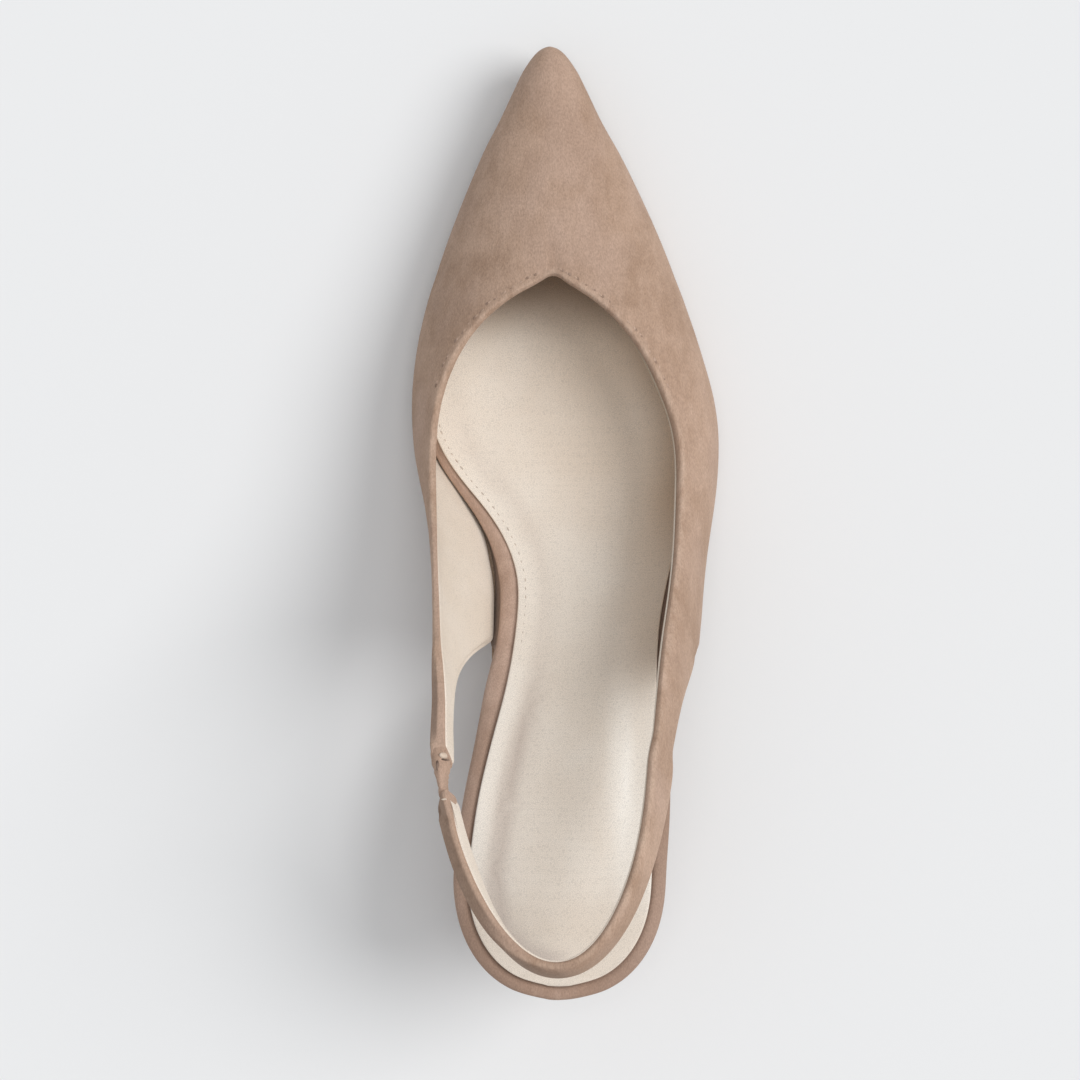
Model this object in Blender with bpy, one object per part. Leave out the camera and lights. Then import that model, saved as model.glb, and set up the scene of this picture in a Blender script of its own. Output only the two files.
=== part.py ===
"""Slingback pump for the right foot, as its maker puts it together.

Sole, heel, heel tip, wrapped insole, sock, elastic, and an upper that runs on into the sling strap.
Sizes are in millimetres and the scene is in metres. +Y runs from heel to toe, +X points to the
little-toe side, +Z is up and the floor is Z = 0.
"""

import math

import bmesh
import bpy
import numpy as np

MM = 0.001

# Driving sizes of the shoe, a women's EU 38
LENGTH = 255.0  # plan length, back of the heel to the toe tip
BALL_WIDTH = 83.8  # plan width across the ball
INSTEP = 38.0  # height of the side wall above the seat line at the waist
HEEL_RISE = 43.2  # climb of the seat line from the ball to the back of the heel
TOE_SPRING = 9.2  # climb of the seat line from the ball to the toe tip

# Thickness of the layers
GAP = 0.3  # clearance between pieces that meet
WALL = 2.0  # suede and lining together
SOLE_FORE, SOLE_WAIST = 3.0, 2.2
INSOLE_FORE, INSOLE_HEEL = 2.2, 4.6
SOCK = 1.2
STRAP_MIDDLE, STRAP_EDGE = 3.0, 1.8  # the strap is fuller along its middle
SEWN_MIDDLE, SEWN_EDGE = 4.4, 3.8  # the ends of the strap and tail, with the elastic sewn in between

# Ends of the plan outline
TOE_X = -4.2  # the toe point lies to the big-toe side of the middle
TOE_ROUND = 7.0  # plan radius of the toe tip
TOE_TAPER = math.radians(27.0)  # angle of the toe's sides to the long axis
TOE_CENTRE = LENGTH / 2 - TOE_ROUND
TUCK = 1.2  # how far the wall swells out beyond the feather edge
INSOLE_TIP = TOE_ROUND - TUCK - WALL - GAP
NOSE = 8.0  # length over which the toe's ridge rounds down to the tip
NOSE_TIP_RISE = 4.2
SEAT_X, SEAT_Y = -1.75, -94.3  # middle of the rounded heel seat
SEAT_HALF, SEAT_BACK, SEAT_SQUARE = 28.2, LENGTH / 2 - 94.3, 2.25

# Main stations along the shoe
THROAT = 64.0  # point of the V
TAIL_SLOPE = 0.55  # climb of both bands where they leave the quarters
TAIL_END = -63.0  # end of the inner tail, where the elastic starts
STRAP_START = -64.0  # where the outer quarter has become the strap
BREAST = -74.0  # front of the heel at the seat

# The sling strap lies on half an ellipse round the back of the heel
STRAP_Y, STRAP_REACH = -40.0, 75.6
STRAP_HALF, STRAP_LOP = 30.4, 1.0  # wider on the big-toe side
STRAP_X, STRAP_SKEW = -2.6, 0.015
STRAP_LOW, STRAP_HIGH = 72.4, 92.6  # height of its middle at the quarter and at the back
STRAP_STOP = 153.9  # turn, in degrees, at which the strap ends and the elastic takes over

ELASTIC_WIDE, ELASTIC_NARROW = 8.8, 6.6  # across the band, at the tail and at the strap
ELASTIC_THICK, ELASTIC_THIN = 4.0, 2.4

HEEL_TIP_HEIGHT = 5.0
HEEL_X = -1.6

# Point counts
WALL_POINTS = 9
STRAP_COLUMNS = 34
PLATE_STATIONS = 54
HEEL_POINTS = 28

OUTER, INNER = 1, -1  # little-toe side and big-toe side


def smooth(xs, ys):
    """A curve through the points that never overshoots between them."""
    xs, ys = np.asarray(xs, float), np.asarray(ys, float)
    run, slope = np.diff(xs), np.diff(ys) / np.diff(xs)
    tangent = np.zeros(len(xs))
    tangent[0], tangent[-1] = slope[0], slope[-1]
    for i in range(1, len(xs) - 1):
        if slope[i - 1] * slope[i] > 0:
            left, right = 2 * run[i] + run[i - 1], run[i] + 2 * run[i - 1]
            tangent[i] = (left + right) / (left / slope[i - 1] + right / slope[i])

    def value(x):
        x = min(max(x, xs[0]), xs[-1])
        i = min(int(np.searchsorted(xs, x, "right")) - 1, len(run) - 1)
        t = (x - xs[i]) / run[i]
        bend = run[i] * (t * (1 - t) ** 2 * tangent[i] - t * t * (1 - t) * tangent[i + 1])
        return ys[i] + (ys[i + 1] - ys[i]) * t * t * (3 - 2 * t) + bend

    return value


def table(names, rows):
    """Each named column of a table as a smooth function of its first column."""
    columns = np.array(sorted(rows), float).T
    return {name: smooth(columns[0], column) for name, column in zip(names.split()[1:], columns[1:])}


# Station is a percentage of LENGTH from the back of the heel. Widths are percentages of BALL_WIDTH,
# negative to the big-toe side, and rises are percentages of INSTEP above the seat line.
SEAT = table(
    "station heel_share spring_share",
    [
        (0, 1.00, 0),
        (7, 0.985, 0),
        (13, 0.95, 0),
        (19, 0.89, 0),
        (24, 0.795, 0),
        (30, 0.645, 0),
        (36, 0.465, 0),
        (41, 0.305, 0),
        (46, 0.165, 0),
        (51, 0.062, 0),
        (55, 0.017, 0),
        (59, 0, 0),
        (71, 0, 0),
        (80, 0, 0.12),
        (88, 0, 0.36),
        (94, 0, 0.66),
        (100, 0, 1.00),
    ],
)
INSOLE_EDGE = table(
    "station inner outer",
    [
        (13, -35.7, 31.6),
        (20, -32.9, 33.0),
        (27, -28.5, 33.4),
        (33, -24.6, 33.9),
        (38, -22.8, 35.0),
        (42, -22.2, 36.8),
        (46, -24.4, 39.0),
        (50, -30.2, 41.6),
        (54, -38.0, 44.2),
        (58, -43.6, 45.7),
        (62, -45.6, 44.9),
        (67, -44.7, 40.6),
        (72, -41.5, 35.5),
        (77, -36.8, 30.0),
        (82, -31.2, 23.5),
        (87, -24.9, 16.1),
        (92, -17.6, 8.0),
        (97, -10.1, 0.1),
        (97.9, -8.7, -1.3),
    ],
)
BULGE = table(
    "station inner inner_rise outer outer_rise",
    [
        (25, -41.7, 98, 36.0, 26),
        (30, -42.1, 98, 39.0, 26),
        (34, -42.3, 97, 41.0, 26),
        (38, -42.5, 96, 42.0, 26),
        (42, -42.8, 92, 43.6, 25),
        (46, -43.4, 80, 45.8, 24),
        (50, -44.7, 62, 47.8, 23),
        (54, -47.3, 42, 49.5, 22),
        (58, -49.5, 28, 50.0, 21),
        (62, -50.0, 22, 48.8, 20),
        (67, -48.8, 19, 44.8, 19),
        (72, -45.8, 17, 39.8, 17),
        (77, -41.1, 16, 34.3, 16),
        (82, -35.6, 15, 27.9, 15),
        (87, -29.4, 13, 20.6, 13),
        (92, -22.3, 12, 12.6, 12),
        (97, -14.8, 10, 4.8, 10),
        (98.6, -12.4, 9, 2.4, 9),
    ],
)
TOPLINE = table(
    "station inner inner_rise inner_turn outer outer_rise outer_turn",
    [
        (25, -41.6, 104, 20, 28.0, 108.6, 34),
        (30, -42.0, 104, 20, 29.4, 109.6, 36),
        (34, -42.2, 103, 20, 30.7, 107.6, 38),
        (38, -42.4, 102, 20, 32.4, 104, 38),
        (42, -42.6, 99, 22, 34.4, 99, 37),
        (46, -43.0, 95, 24, 35.9, 93, 38),
        (50, -43.3, 91, 27, 36.6, 87, 39),
        (54, -43.4, 86, 30, 36.9, 82, 41),
        (58, -42.7, 82, 32, 36.0, 78, 43),
        (61, -41.6, 82, 35, 33.6, 78, 45),
        (64, -39.2, 82, 39, 29.8, 79.6, 49),
        (67, -35.0, 83, 46, 25.2, 83, 53),
        (70, -28.2, 85.6, 56, 18.2, 86.7, 61),
        (72, -21.6, 87.3, 66, 12.0, 88.3, 69),
        (74, -12.2, 88.3, 79, 3.0, 88.4, 80),
        (75.1, -4.0, 87.5, 90, -4.0, 87.5, 90),
    ],
)
RIDGE = table(
    "station middle rise",
    [
        (75.1, -4.0, 87.5),
        (80, -4.3, 77),
        (85, -4.6, 65),
        (90, -4.8, 52),
        (95, -5.0, 38.5),
        (100, -5.0, 25),
    ],
)
QUARTER_LOW = table(  # lower edge of both quarters, sweeping up from the sole, and the inner one's lean in mm
    "station inner outer inner_lean",
    [
        (25, 75.5, 80.5, 1.0),
        (28, 74, 78, 1.0),
        (30.5, 70.5, 73.5, 0.9),
        (32, 65, 67, 0.7),
        (33.2, 57, 58, 0.4),
        (34.4, 44.5, 44.5, 0.2),
        (35.4, 29, 29, 0),
        (36.2, 12, 12, 0),
        (36.7, 0, 0, 0),
    ],
)
STRAP = table(  # turn round the heel in degrees, from the outer side
    "turn lean width middle edge",
    [
        (18, 29, 11.2, WALL, WALL),
        (40, 26, 9.8, STRAP_MIDDLE, STRAP_EDGE),
        (90, 22, 8.8, STRAP_MIDDLE, STRAP_EDGE),
        (107, 11, 8.9, 3.6, 2.6),
        (125, -4, 9.2, 4.2, 3.4),
        (142, -13, 9.6, SEWN_MIDDLE, SEWN_EDGE),
        (155, -14, 9.6, SEWN_MIDDLE, SEWN_EDGE),
    ],
)
HEEL = table(  # level is a percentage of the way down the heel
    "level front back half",
    [
        (10, -77.3, -124.8, 24.8),
        (25, -83.0, -121.0, 19.5),
        (45, -90.2, -116.9, 13.2),
        (65, -95.6, -114.4, 8.9),
        (85, -99.0, -113.1, 6.5),
        (100, -100.2, -112.8, 5.9),
    ],
)
HEEL_LEVELS = (10, 20, 31, 43, 56, 70, 85, 100)


def station(y):
    return 100 * (y / LENGTH + 0.5)


def along(percent):
    return (percent / 100 - 0.5) * LENGTH


def across(percent):
    return percent / 100 * BALL_WIDTH


def rise(percent):
    return percent / 100 * INSTEP


def ease(low, high, value):
    t = min(max((value - low) / (high - low), 0), 1)
    return t * t * (3 - 2 * t)


def side_name(side):
    return "outer" if side == OUTER else "inner"


def seat(y):
    """Height of the seat line, the underside of the insole."""
    at = station(y)
    return SOLE_FORE + GAP + HEEL_RISE * SEAT["heel_share"](at) + TOE_SPRING * SEAT["spring_share"](at)


def edge(side, y, grow=0.0):
    """Plan edge of the insole at y, moved outwards by grow."""
    tip = INSOLE_TIP + grow
    if y > TOE_CENTRE + tip * math.sin(TOE_TAPER):
        return TOE_X + side * math.sqrt(max(tip * tip - (y - TOE_CENTRE) ** 2, 0))
    if y < SEAT_Y:
        share = min((SEAT_Y - y) / (SEAT_BACK + grow), 1)
        half = (SEAT_HALF + grow) * (1 - share**SEAT_SQUARE) ** (1 / SEAT_SQUARE)
        return SEAT_X + side * half
    column = INSOLE_EDGE[side_name(side)]
    slope = across(column(station(y + 1)) - column(station(y - 1))) / 2
    return across(column(station(y))) + side * grow * math.hypot(1, slope)


def bulge_x(side, y):
    """Widest line of the upper's wall, its outline from above."""
    if y > TOE_CENTRE + TOE_ROUND * math.sin(TOE_TAPER):
        return TOE_X + side * math.sqrt(max(TOE_ROUND**2 - (y - TOE_CENTRE) ** 2, 0))
    return across(BULGE[side_name(side)](station(y)))


def ridge_rise(y):
    """Height of the toe's ridge above the seat line, rounding down at the tip."""
    full = rise(RIDGE["rise"](station(y)))
    short = min(max((LENGTH / 2 - y) / NOSE, 0), 1)
    return NOSE_TIP_RISE + (full - NOSE_TIP_RISE) * math.sqrt(1 - (1 - short) ** 2)


def wall_section(side, y):
    """Outer face of the upper's wall on one side at y, lower edge to topline or ridge, as x and z."""
    at, name, floor = station(y), side_name(side), seat(y)
    widest = bulge_x(side, y)
    toe = ease(TOE_CENTRE - TOE_ROUND, TOE_CENTRE + TOE_ROUND, y)
    feather = edge(side, y, GAP + WALL) * (1 - toe) + widest * toe
    swell = rise(BULGE[name + "_rise"](at))
    if y >= THROAT:
        top_x, top_rise, turn = across(RIDGE["middle"](at)), ridge_rise(y), math.pi / 2
        blend = ease(TOE_CENTRE - TOE_ROUND, LENGTH / 2, y)
        top_x = top_x * (1 - blend) + TOE_X * blend
    else:
        top_x, top_rise = across(TOPLINE[name](at)), rise(TOPLINE[name + "_rise"](at))
        turn = math.radians(TOPLINE[name + "_turn"](at))
    swell = min(swell, 0.6 * top_rise) if y >= THROAT else min(swell, 0.97 * top_rise)
    steps = np.linspace(0, 1, 24)
    flare = 2 - 0.7 * swell / top_rise
    low_x = widest - (widest - feather) * (1 - steps) ** flare
    low_z = floor + swell * steps
    reach, climb = (widest - top_x) / (1 - math.cos(turn)), (top_rise - swell) / math.sin(turn)
    high_x = widest - reach * (1 - np.cos(turn * steps[1:]))
    high_z = floor + swell + climb * np.sin(turn * steps[1:])
    xs, zs = np.concatenate([low_x, high_x]), np.concatenate([low_z, high_z])
    lower = floor + (rise(QUARTER_LOW[name](at)) if at < 36.7 else 0)
    if side == INNER and at < 36.7:
        xs = xs + QUARTER_LOW["inner_lean"](at) * np.clip((zs[-1] - zs) / (zs[-1] - lower), 0, 1)
    kept = zs > lower
    xs = np.concatenate([[np.interp(lower, zs, xs)], xs[kept]])
    zs = np.concatenate([[lower], zs[kept]])
    length = np.concatenate([[0], np.cumsum(np.hypot(np.diff(xs), np.diff(zs)))])
    even = np.linspace(0, length[-1], WALL_POINTS)
    return np.interp(even, length, xs), np.interp(even, length, zs)


def strap_middle(turn):
    """Middle of the strap's band, a turn in degrees round the heel from the outer side."""
    bend = math.radians(turn)
    y = STRAP_Y - STRAP_REACH * math.sin(bend)
    share = min((STRAP_START - y) / (STRAP_START - STRAP_Y + STRAP_REACH), 1)
    half = STRAP_HALF - STRAP_LOP * math.cos(bend)
    x = STRAP_X - STRAP_SKEW * (y - STRAP_Y + STRAP_REACH) + half * math.cos(bend)
    z = STRAP_LOW + (STRAP_HIGH - STRAP_LOW) * (1 - (1 - share) ** 1.4)
    return np.array([x, y, z])


def strap_frame(turn):
    """Middle, outward direction, direction across the band and direction along it."""
    middle = strap_middle(turn)
    run = strap_middle(turn + 0.5) - strap_middle(turn - 0.5)
    run /= np.linalg.norm(run)
    out = np.array([-run[1], run[0], 0.0])
    out /= np.linalg.norm(out)
    lean = math.radians(STRAP["lean"](turn))
    over = np.array([0, 0, math.cos(lean)]) - out * math.sin(lean)
    over -= run * np.dot(over, run)
    over /= np.linalg.norm(over)
    return middle, np.cross(over, run), over, run


def strap_column(turn):
    """Outer face of the strap at a turn, lower edge to upper edge, and its wall at each point."""
    middle, out, over, _ = strap_frame(turn)
    full, thin = STRAP["middle"](turn), STRAP["edge"](turn)
    points, walls = [], []
    for share in np.linspace(-1, 1, WALL_POINTS):
        wall = thin + (full - thin) * math.sqrt(1 - share * share)
        points.append(middle + over * share * STRAP["width"](turn) / 2 + out * wall / 2)
        walls.append(wall)
    return points, walls


def wall_column(side, y):
    """A column of the wall, turning behind the sole to stand square across the band."""
    square = TAIL_SLOPE * ease(along(37), along(31), y)
    _, heights = wall_section(side, y)
    points = []
    for i, shifted in enumerate(y + square * (heights - heights.mean())):
        xs, zs = wall_section(side, shifted)
        points.append(np.array([xs[i], shifted, zs[i]]))
    sewn = ease(TAIL_END + 48, TAIL_END, y) if side == INNER else 0
    shares = np.linspace(-1, 1, WALL_POINTS)
    full = [SEWN_EDGE + (SEWN_MIDDLE - SEWN_EDGE) * math.sqrt(1 - s * s) for s in shares]
    return points, [WALL + (most - WALL) * sewn for most in full]


def wall_stations():
    """Stations of the wall's columns from the toe tip back, closer where the outline turns."""
    tip = LENGTH / 2 - np.array([0, 0.25, 1.0, 2.3, 4.2, 6.8])
    vamp = np.linspace(LENGTH / 2 - 10.5, THROAT + 5, 9)
    throat = THROAT - np.array([-2.0, 0, 1.4, 3.2, 5.6, 8.8, 12.8, 17.8])
    side = np.linspace(THROAT - 24, -30, 13)
    sweep = along(np.array([37.2, 36.7, 36.2, 35.7, 35.0, 34.2, 33.2, 32.0, 30.6, 29.0]))
    return np.concatenate([tip, vamp, throat, side, sweep])


def new_object(name, bm, colour, roughness, smooth_angle=40):
    """Puts a bmesh in millimetres into the scene, in metres, under the shoe's empty."""
    mesh = bpy.data.meshes.new(name)
    bmesh.ops.scale(bm, vec=(MM, MM, MM), verts=bm.verts)
    bm.to_mesh(mesh)
    bm.free()
    mesh.shade_smooth()
    mesh.set_sharp_from_angle(angle=math.radians(smooth_angle))
    material = bpy.data.materials.new(name)
    material.use_nodes = True
    shader = material.node_tree.nodes["Principled BSDF"]
    shader.inputs["Base Color"].default_value = (*colour, 1)
    shader.inputs["Roughness"].default_value = roughness
    mesh.materials.append(material)
    made = bpy.data.objects.new(name, mesh)
    bpy.context.scene.collection.objects.link(made)
    made.parent = shoe
    return made


def loft(loops):
    """A closed skin over loops of equal length, each a list of points in the same turning sense."""
    bm = bmesh.new()
    rings = [[bm.verts.new(point) for point in loop] for loop in loops]
    for ring, following in zip(rings, rings[1:]):
        for i in range(len(ring)):
            j = (i + 1) % len(ring)
            bm.faces.new((ring[i], ring[j], following[j], following[i]))
    bm.faces.new(reversed(rings[0]))
    bm.faces.new(rings[-1])
    bmesh.ops.triangulate(bm, faces=bm.faces)
    bmesh.ops.recalc_face_normals(bm, faces=bm.faces)
    return bm


def plate(span, outline, under, over, round_under=0.0, round_over=0.0, columns=5):
    """A bent plate between two heights, its plan outline given for each side, with rounded rims."""
    back, front = span
    even = np.linspace(-1, 1, PLATE_STATIONS)
    closer_at_ends = 0.3 * even + 0.7 * np.sin(even * math.pi / 2)
    loops = []
    for y in (back + front) / 2 + (front - back) / 2 * closer_at_ends:
        left, right, low, high = outline(INNER, y), outline(OUTER, y), under(y), over(y)
        soft_low, soft_high = (min(r, 0.35 * (right - left)) for r in (round_under, round_over))
        loop = []
        for z, soft, way in ((low, soft_low, 1), (high, soft_high, -1)):
            rim = [(0, soft), (0.3 * soft, 0.3 * soft), (soft, 0)] if soft else [(0, 0)]
            row = [(left + inset, y, z + way * lift) for inset, lift in rim]
            inner = np.linspace(left + soft, right - soft, columns)[1:-1]
            row += [(x, y, z) for x in inner]
            row += [(right - inset, y, z + way * lift) for inset, lift in reversed(rim)]
            loop += row if way == 1 else row[::-1]
        loops.append(loop)
    return loft(loops)


def make_outsole():
    """Thin sole from the toe to the heel's breast, flat under the ball and rolled at its rim."""

    def outline(side, y):
        upper_on_it = ease(along(35.5), along(37.5), y)
        return edge(side, y, (WALL - 0.3) * upper_on_it - 0.2 * (1 - upper_on_it))

    def over(y):
        return seat(y) - GAP

    def under(y):
        return over(y) - SOLE_WAIST - (SOLE_FORE - SOLE_WAIST) * ease(-35, 15, y)

    front = LENGTH / 2 - TUCK - 0.6 - 0.05
    bm = plate((BREAST + 0.4, front), outline, under, over, round_under=1.3)
    new_object("outsole", bm, (0.42, 0.29, 0.20), 0.55)


def insole_top(y):
    return seat(y) + INSOLE_FORE + (INSOLE_HEEL - INSOLE_FORE) * ease(40, -5, y)


def make_insole():
    """Insole board with its rim wrapped in suede, seen round the waist and heel seat."""
    ends = (-LENGTH / 2 + 0.12, TOE_CENTRE + INSOLE_TIP - 0.05)
    new_object("insole", plate(ends, edge, seat, insole_top, round_over=1.7), (0.45, 0.31, 0.24), 0.75)


def sock_inset(side, y):
    heel, waist, fore = 3.9, 6.0 if side == INNER else 4.4, 0.6
    return heel + (waist - heel) * ease(-75, -15, y) - (waist - fore) * ease(-18, 34, y)


def make_sock():
    """Leather sock that covers the insole inside its wrapped rim."""

    def outline(side, y):
        return edge(side, y, -sock_inset(side, y))

    def under(y):
        return insole_top(y) + GAP

    def over(y):
        return under(y) + SOCK

    ends = (-LENGTH / 2 + 4.0, TOE_CENTRE + INSOLE_TIP - 0.7)
    new_object("sock", plate(ends, outline, under, over, round_over=0.6), (0.72, 0.63, 0.52), 0.5)


def heel_reach(angle):
    """Distance from the heel's middle to its rim under the insole, in one plan direction."""
    inside, outside = 0.0, 60.0
    for _ in range(30):
        reach = (inside + outside) / 2
        x, y = HEEL_X + reach * math.cos(angle), SEAT_Y + reach * math.sin(angle)
        back = -LENGTH / 2 + 0.5
        held = back < y < BREAST and edge(INNER, y, -0.4) < x < edge(OUTER, y, -0.4)
        inside, outside = (reach, outside) if held else (inside, reach)
    return inside


def heel_loop(level, angles):
    """Plan outline of the heel at a level, a rounded form between its front and back lines."""
    front, back, half = (HEEL[name](level) for name in ("front", "back", "half"))
    middle, depth = (front + back) / 2, (front - back) / 2
    loop = []
    for a in angles:
        c, s = math.cos(a), math.sin(a)
        reach = (abs(c / half) ** 2.3 + abs(s / depth) ** 2.3) ** (-1 / 2.3)
        loop.append((HEEL_X + reach * c, middle + reach * s))
    return loop


def make_heel():
    """Slim covered heel that flares into the seat, and the tip that it stands on."""
    angles = [2 * math.pi * i / HEEL_POINTS for i in range(HEEL_POINTS)]
    reaches = [heel_reach(a) for a in angles]
    rim = [(HEEL_X + r * math.cos(a), SEAT_Y + r * math.sin(a)) for r, a in zip(reaches, angles)]
    foot = HEEL_TIP_HEIGHT + GAP
    loops = []
    for share in (0.12, 0.45, 0.75, 1.0):
        ring = [(HEEL_X + (x - HEEL_X) * share, SEAT_Y + (y - SEAT_Y) * share) for x, y in rim]
        loops.append([(x, y, seat(y) - GAP) for x, y in ring])
    for level in HEEL_LEVELS:
        ring = heel_loop(level, angles)
        tops = [seat(y) - GAP for _, y in rim]
        loops.append([(x, y, top + (foot - top) * level / 100) for (x, y), top in zip(ring, tops)])
    new_object("heel", loft(loops), (0.45, 0.31, 0.24), 0.85, smooth_angle=50)
    base = heel_loop(100, angles)
    tip = [[(x, y, z) for x, y in base] for z in (0.0, HEEL_TIP_HEIGHT)]
    new_object("heel_tip", loft(tip), (0.12, 0.09, 0.08), 0.6)


def make_upper():
    """Vamp, both quarters and the sling strap as one hollow wall, open below, at the throat and sides."""
    bm = bmesh.new()
    layer = bm.verts.layers.float.new("wall")

    def add_columns(columns, flip):
        grid = []
        for points, walls in columns:
            ring = [bm.verts.new(point) for point in points]
            for vert, wall in zip(ring, walls):
                vert[layer] = wall / SEWN_MIDDLE
            grid.append(ring)
        for here, there in zip(grid, grid[1:]):
            for i in range(WALL_POINTS - 1):
                corners = (here[i], here[i + 1], there[i + 1], there[i])
                bm.faces.new(corners[::-1] if flip else corners)

    shared = wall_stations()
    tail = np.linspace(along(27.6), TAIL_END, 4)
    first = math.degrees(math.asin((STRAP_Y - STRAP_START) / STRAP_REACH))
    turns = np.linspace(first, STRAP_STOP, STRAP_COLUMNS)
    outer = [wall_column(OUTER, y) for y in np.concatenate([shared, tail[:2]])]
    outer += [strap_column(turn) for turn in turns]
    inner = [wall_column(INNER, y) for y in np.concatenate([shared, tail])]
    add_columns(outer, flip=False)
    add_columns(inner, flip=True)
    bmesh.ops.remove_doubles(bm, verts=bm.verts, dist=0.01)
    bm.verts.index_update()
    shares = [vert[layer] for vert in bm.verts]
    made = new_object("upper", bm, (0.45, 0.31, 0.24), 0.9)
    group = made.vertex_groups.new(name="wall")
    for index, share in enumerate(shares):
        group.add([index], share, "REPLACE")
    wall = made.modifiers.new("wall", "SOLIDIFY")
    wall.thickness = SEWN_MIDDLE * MM
    wall.offset = -1
    wall.use_even_offset = True
    wall.use_quality_normals = True
    wall.vertex_group = group.name


def make_elastic():
    """Short covered elastic between the inner tail and the end of the strap."""
    points, _ = wall_column(INNER, TAIL_END)
    tail_over = points[-1] - points[0]
    tail_over /= np.linalg.norm(tail_over)
    tail_out = np.array([INNER, 0, 0]) - tail_over * tail_over[0] * INNER
    tail_out /= np.linalg.norm(tail_out)
    clear = np.cross(tail_over, tail_out) * 2 * GAP
    tail = points[WALL_POINTS // 2] - tail_out * SEWN_MIDDLE / 2 + clear
    strap, strap_out, strap_over, run = strap_frame(STRAP_STOP)
    strap = strap + run * GAP
    angles = [2 * math.pi * i / 12 for i in range(12)]
    loops = []
    for share in np.linspace(0, 1, 6):
        middle = tail + (strap - tail) * share
        over = tail_over + (strap_over - tail_over) * share
        out = tail_out + (strap_out - tail_out) * share
        taper = ease(0, 0.85, share)
        width = ELASTIC_WIDE + (ELASTIC_NARROW - ELASTIC_WIDE) * taper
        thick = ELASTIC_THICK + (ELASTIC_THIN - ELASTIC_THICK) * taper
        loop = []
        for a in angles:
            c, s = math.cos(a), math.sin(a)
            reach = (abs(c) ** 3 + abs(s) ** 3) ** (-1 / 3)
            loop.append(middle + over * width / 2 * reach * c + out * thick / 2 * reach * s)
        loops.append(loop)
    new_object("elastic", loft(loops), (0.42, 0.29, 0.23), 0.9)


def centre_on_floor():
    """Moves the shoe so that the middle of its plan box is the origin."""
    bpy.context.view_layer.update()
    depsgraph = bpy.context.evaluated_depsgraph_get()
    corners = []
    for piece in shoe.children:
        shown = piece.evaluated_get(depsgraph)
        corners += [shown.matrix_world @ vert.co for vert in shown.to_mesh().vertices]
        shown.to_mesh_clear()
    low, high = np.min(corners, axis=0), np.max(corners, axis=0)
    shoe.location = (-(low[0] + high[0]) / 2, -(low[1] + high[1]) / 2, 0)


for leftover in list(bpy.data.objects):
    bpy.data.objects.remove(leftover)
shoe = bpy.data.objects.new("slingback_pump", None)
bpy.context.scene.collection.objects.link(shoe)
make_outsole()
make_insole()
make_sock()
make_heel()
make_upper()
make_elastic()
centre_on_floor()
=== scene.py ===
import math

import bmesh
import bpy
from mathutils import Matrix, Vector, noise
from mathutils.bvhtree import BVHTree
from mathutils.kdtree import KDTree


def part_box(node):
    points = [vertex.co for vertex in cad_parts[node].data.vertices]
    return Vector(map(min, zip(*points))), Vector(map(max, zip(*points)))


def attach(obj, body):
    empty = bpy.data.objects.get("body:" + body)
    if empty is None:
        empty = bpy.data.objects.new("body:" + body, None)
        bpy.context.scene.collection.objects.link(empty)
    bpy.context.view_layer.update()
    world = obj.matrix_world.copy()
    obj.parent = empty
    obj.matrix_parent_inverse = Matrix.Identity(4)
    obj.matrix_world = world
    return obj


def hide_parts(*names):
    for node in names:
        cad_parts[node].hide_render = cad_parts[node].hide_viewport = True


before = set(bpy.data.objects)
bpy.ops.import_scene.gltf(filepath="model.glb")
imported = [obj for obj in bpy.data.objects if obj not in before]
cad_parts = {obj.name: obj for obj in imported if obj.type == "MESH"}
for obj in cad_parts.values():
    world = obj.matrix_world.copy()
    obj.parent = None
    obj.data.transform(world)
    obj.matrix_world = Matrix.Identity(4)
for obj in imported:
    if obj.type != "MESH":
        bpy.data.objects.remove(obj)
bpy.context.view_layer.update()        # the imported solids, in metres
scene = bpy.context.scene
mm = 0.001
noise.seed_set(3)    # the same gathers and stitches each run
print("frame loaded:", len(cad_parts), "solids")


# Shader tools

def addNode(tree, kind, values=None, **settings):
    node = tree.nodes.new("ShaderNode" + kind)
    for name, value in settings.items():
        setattr(node, name, value)
    for socket, value in (values or {}).items():
        node.inputs[socket].default_value = value
    return node


def join(tree, source, target):
    tree.links.new(source, target)


def newGroup(name, inputs, outputs):
    group = bpy.data.node_groups.new(name, "ShaderNodeTree")
    for socket, kind in inputs.items():
        group.interface.new_socket(socket, in_out="INPUT", socket_type="NodeSocket" + kind)
    for socket in outputs:
        group.interface.new_socket(socket, in_out="OUTPUT", socket_type="NodeSocketFloat")
    return group, group.nodes.new("NodeGroupInput"), group.nodes.new("NodeGroupOutput")


def noiseOf(tree, coords, scale, detail, roughness=0.5, stretch=None):
    cloud = addNode(tree, "TexNoise", {"Detail": detail, "Roughness": roughness})
    if stretch:
        turned = addNode(tree, "Mapping", {"Scale": stretch})
        join(tree, coords, turned.inputs["Vector"])
        coords = turned.outputs["Vector"]
    join(tree, coords, cloud.inputs["Vector"])
    if isinstance(scale, (int, float)):
        cloud.inputs["Scale"].default_value = scale
    else:
        join(tree, scale, cloud.inputs["Scale"])
    return cloud.outputs["Fac"]


def spread(tree, value, low, high):
    band = addNode(
        tree, "MapRange", {"From Min": low, "From Max": high}, interpolation_type="SMOOTHSTEP")
    join(tree, value, band.inputs["Value"])
    return band.outputs["Result"]


def calc(tree, operation, first, second):
    node = addNode(tree, "Math", operation=operation)
    for place, value in enumerate((first, second)):
        if isinstance(value, (int, float)):
            node.inputs[place].default_value = value
        else:
            join(tree, value, node.inputs[place])
    return node.outputs["Value"]


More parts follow.
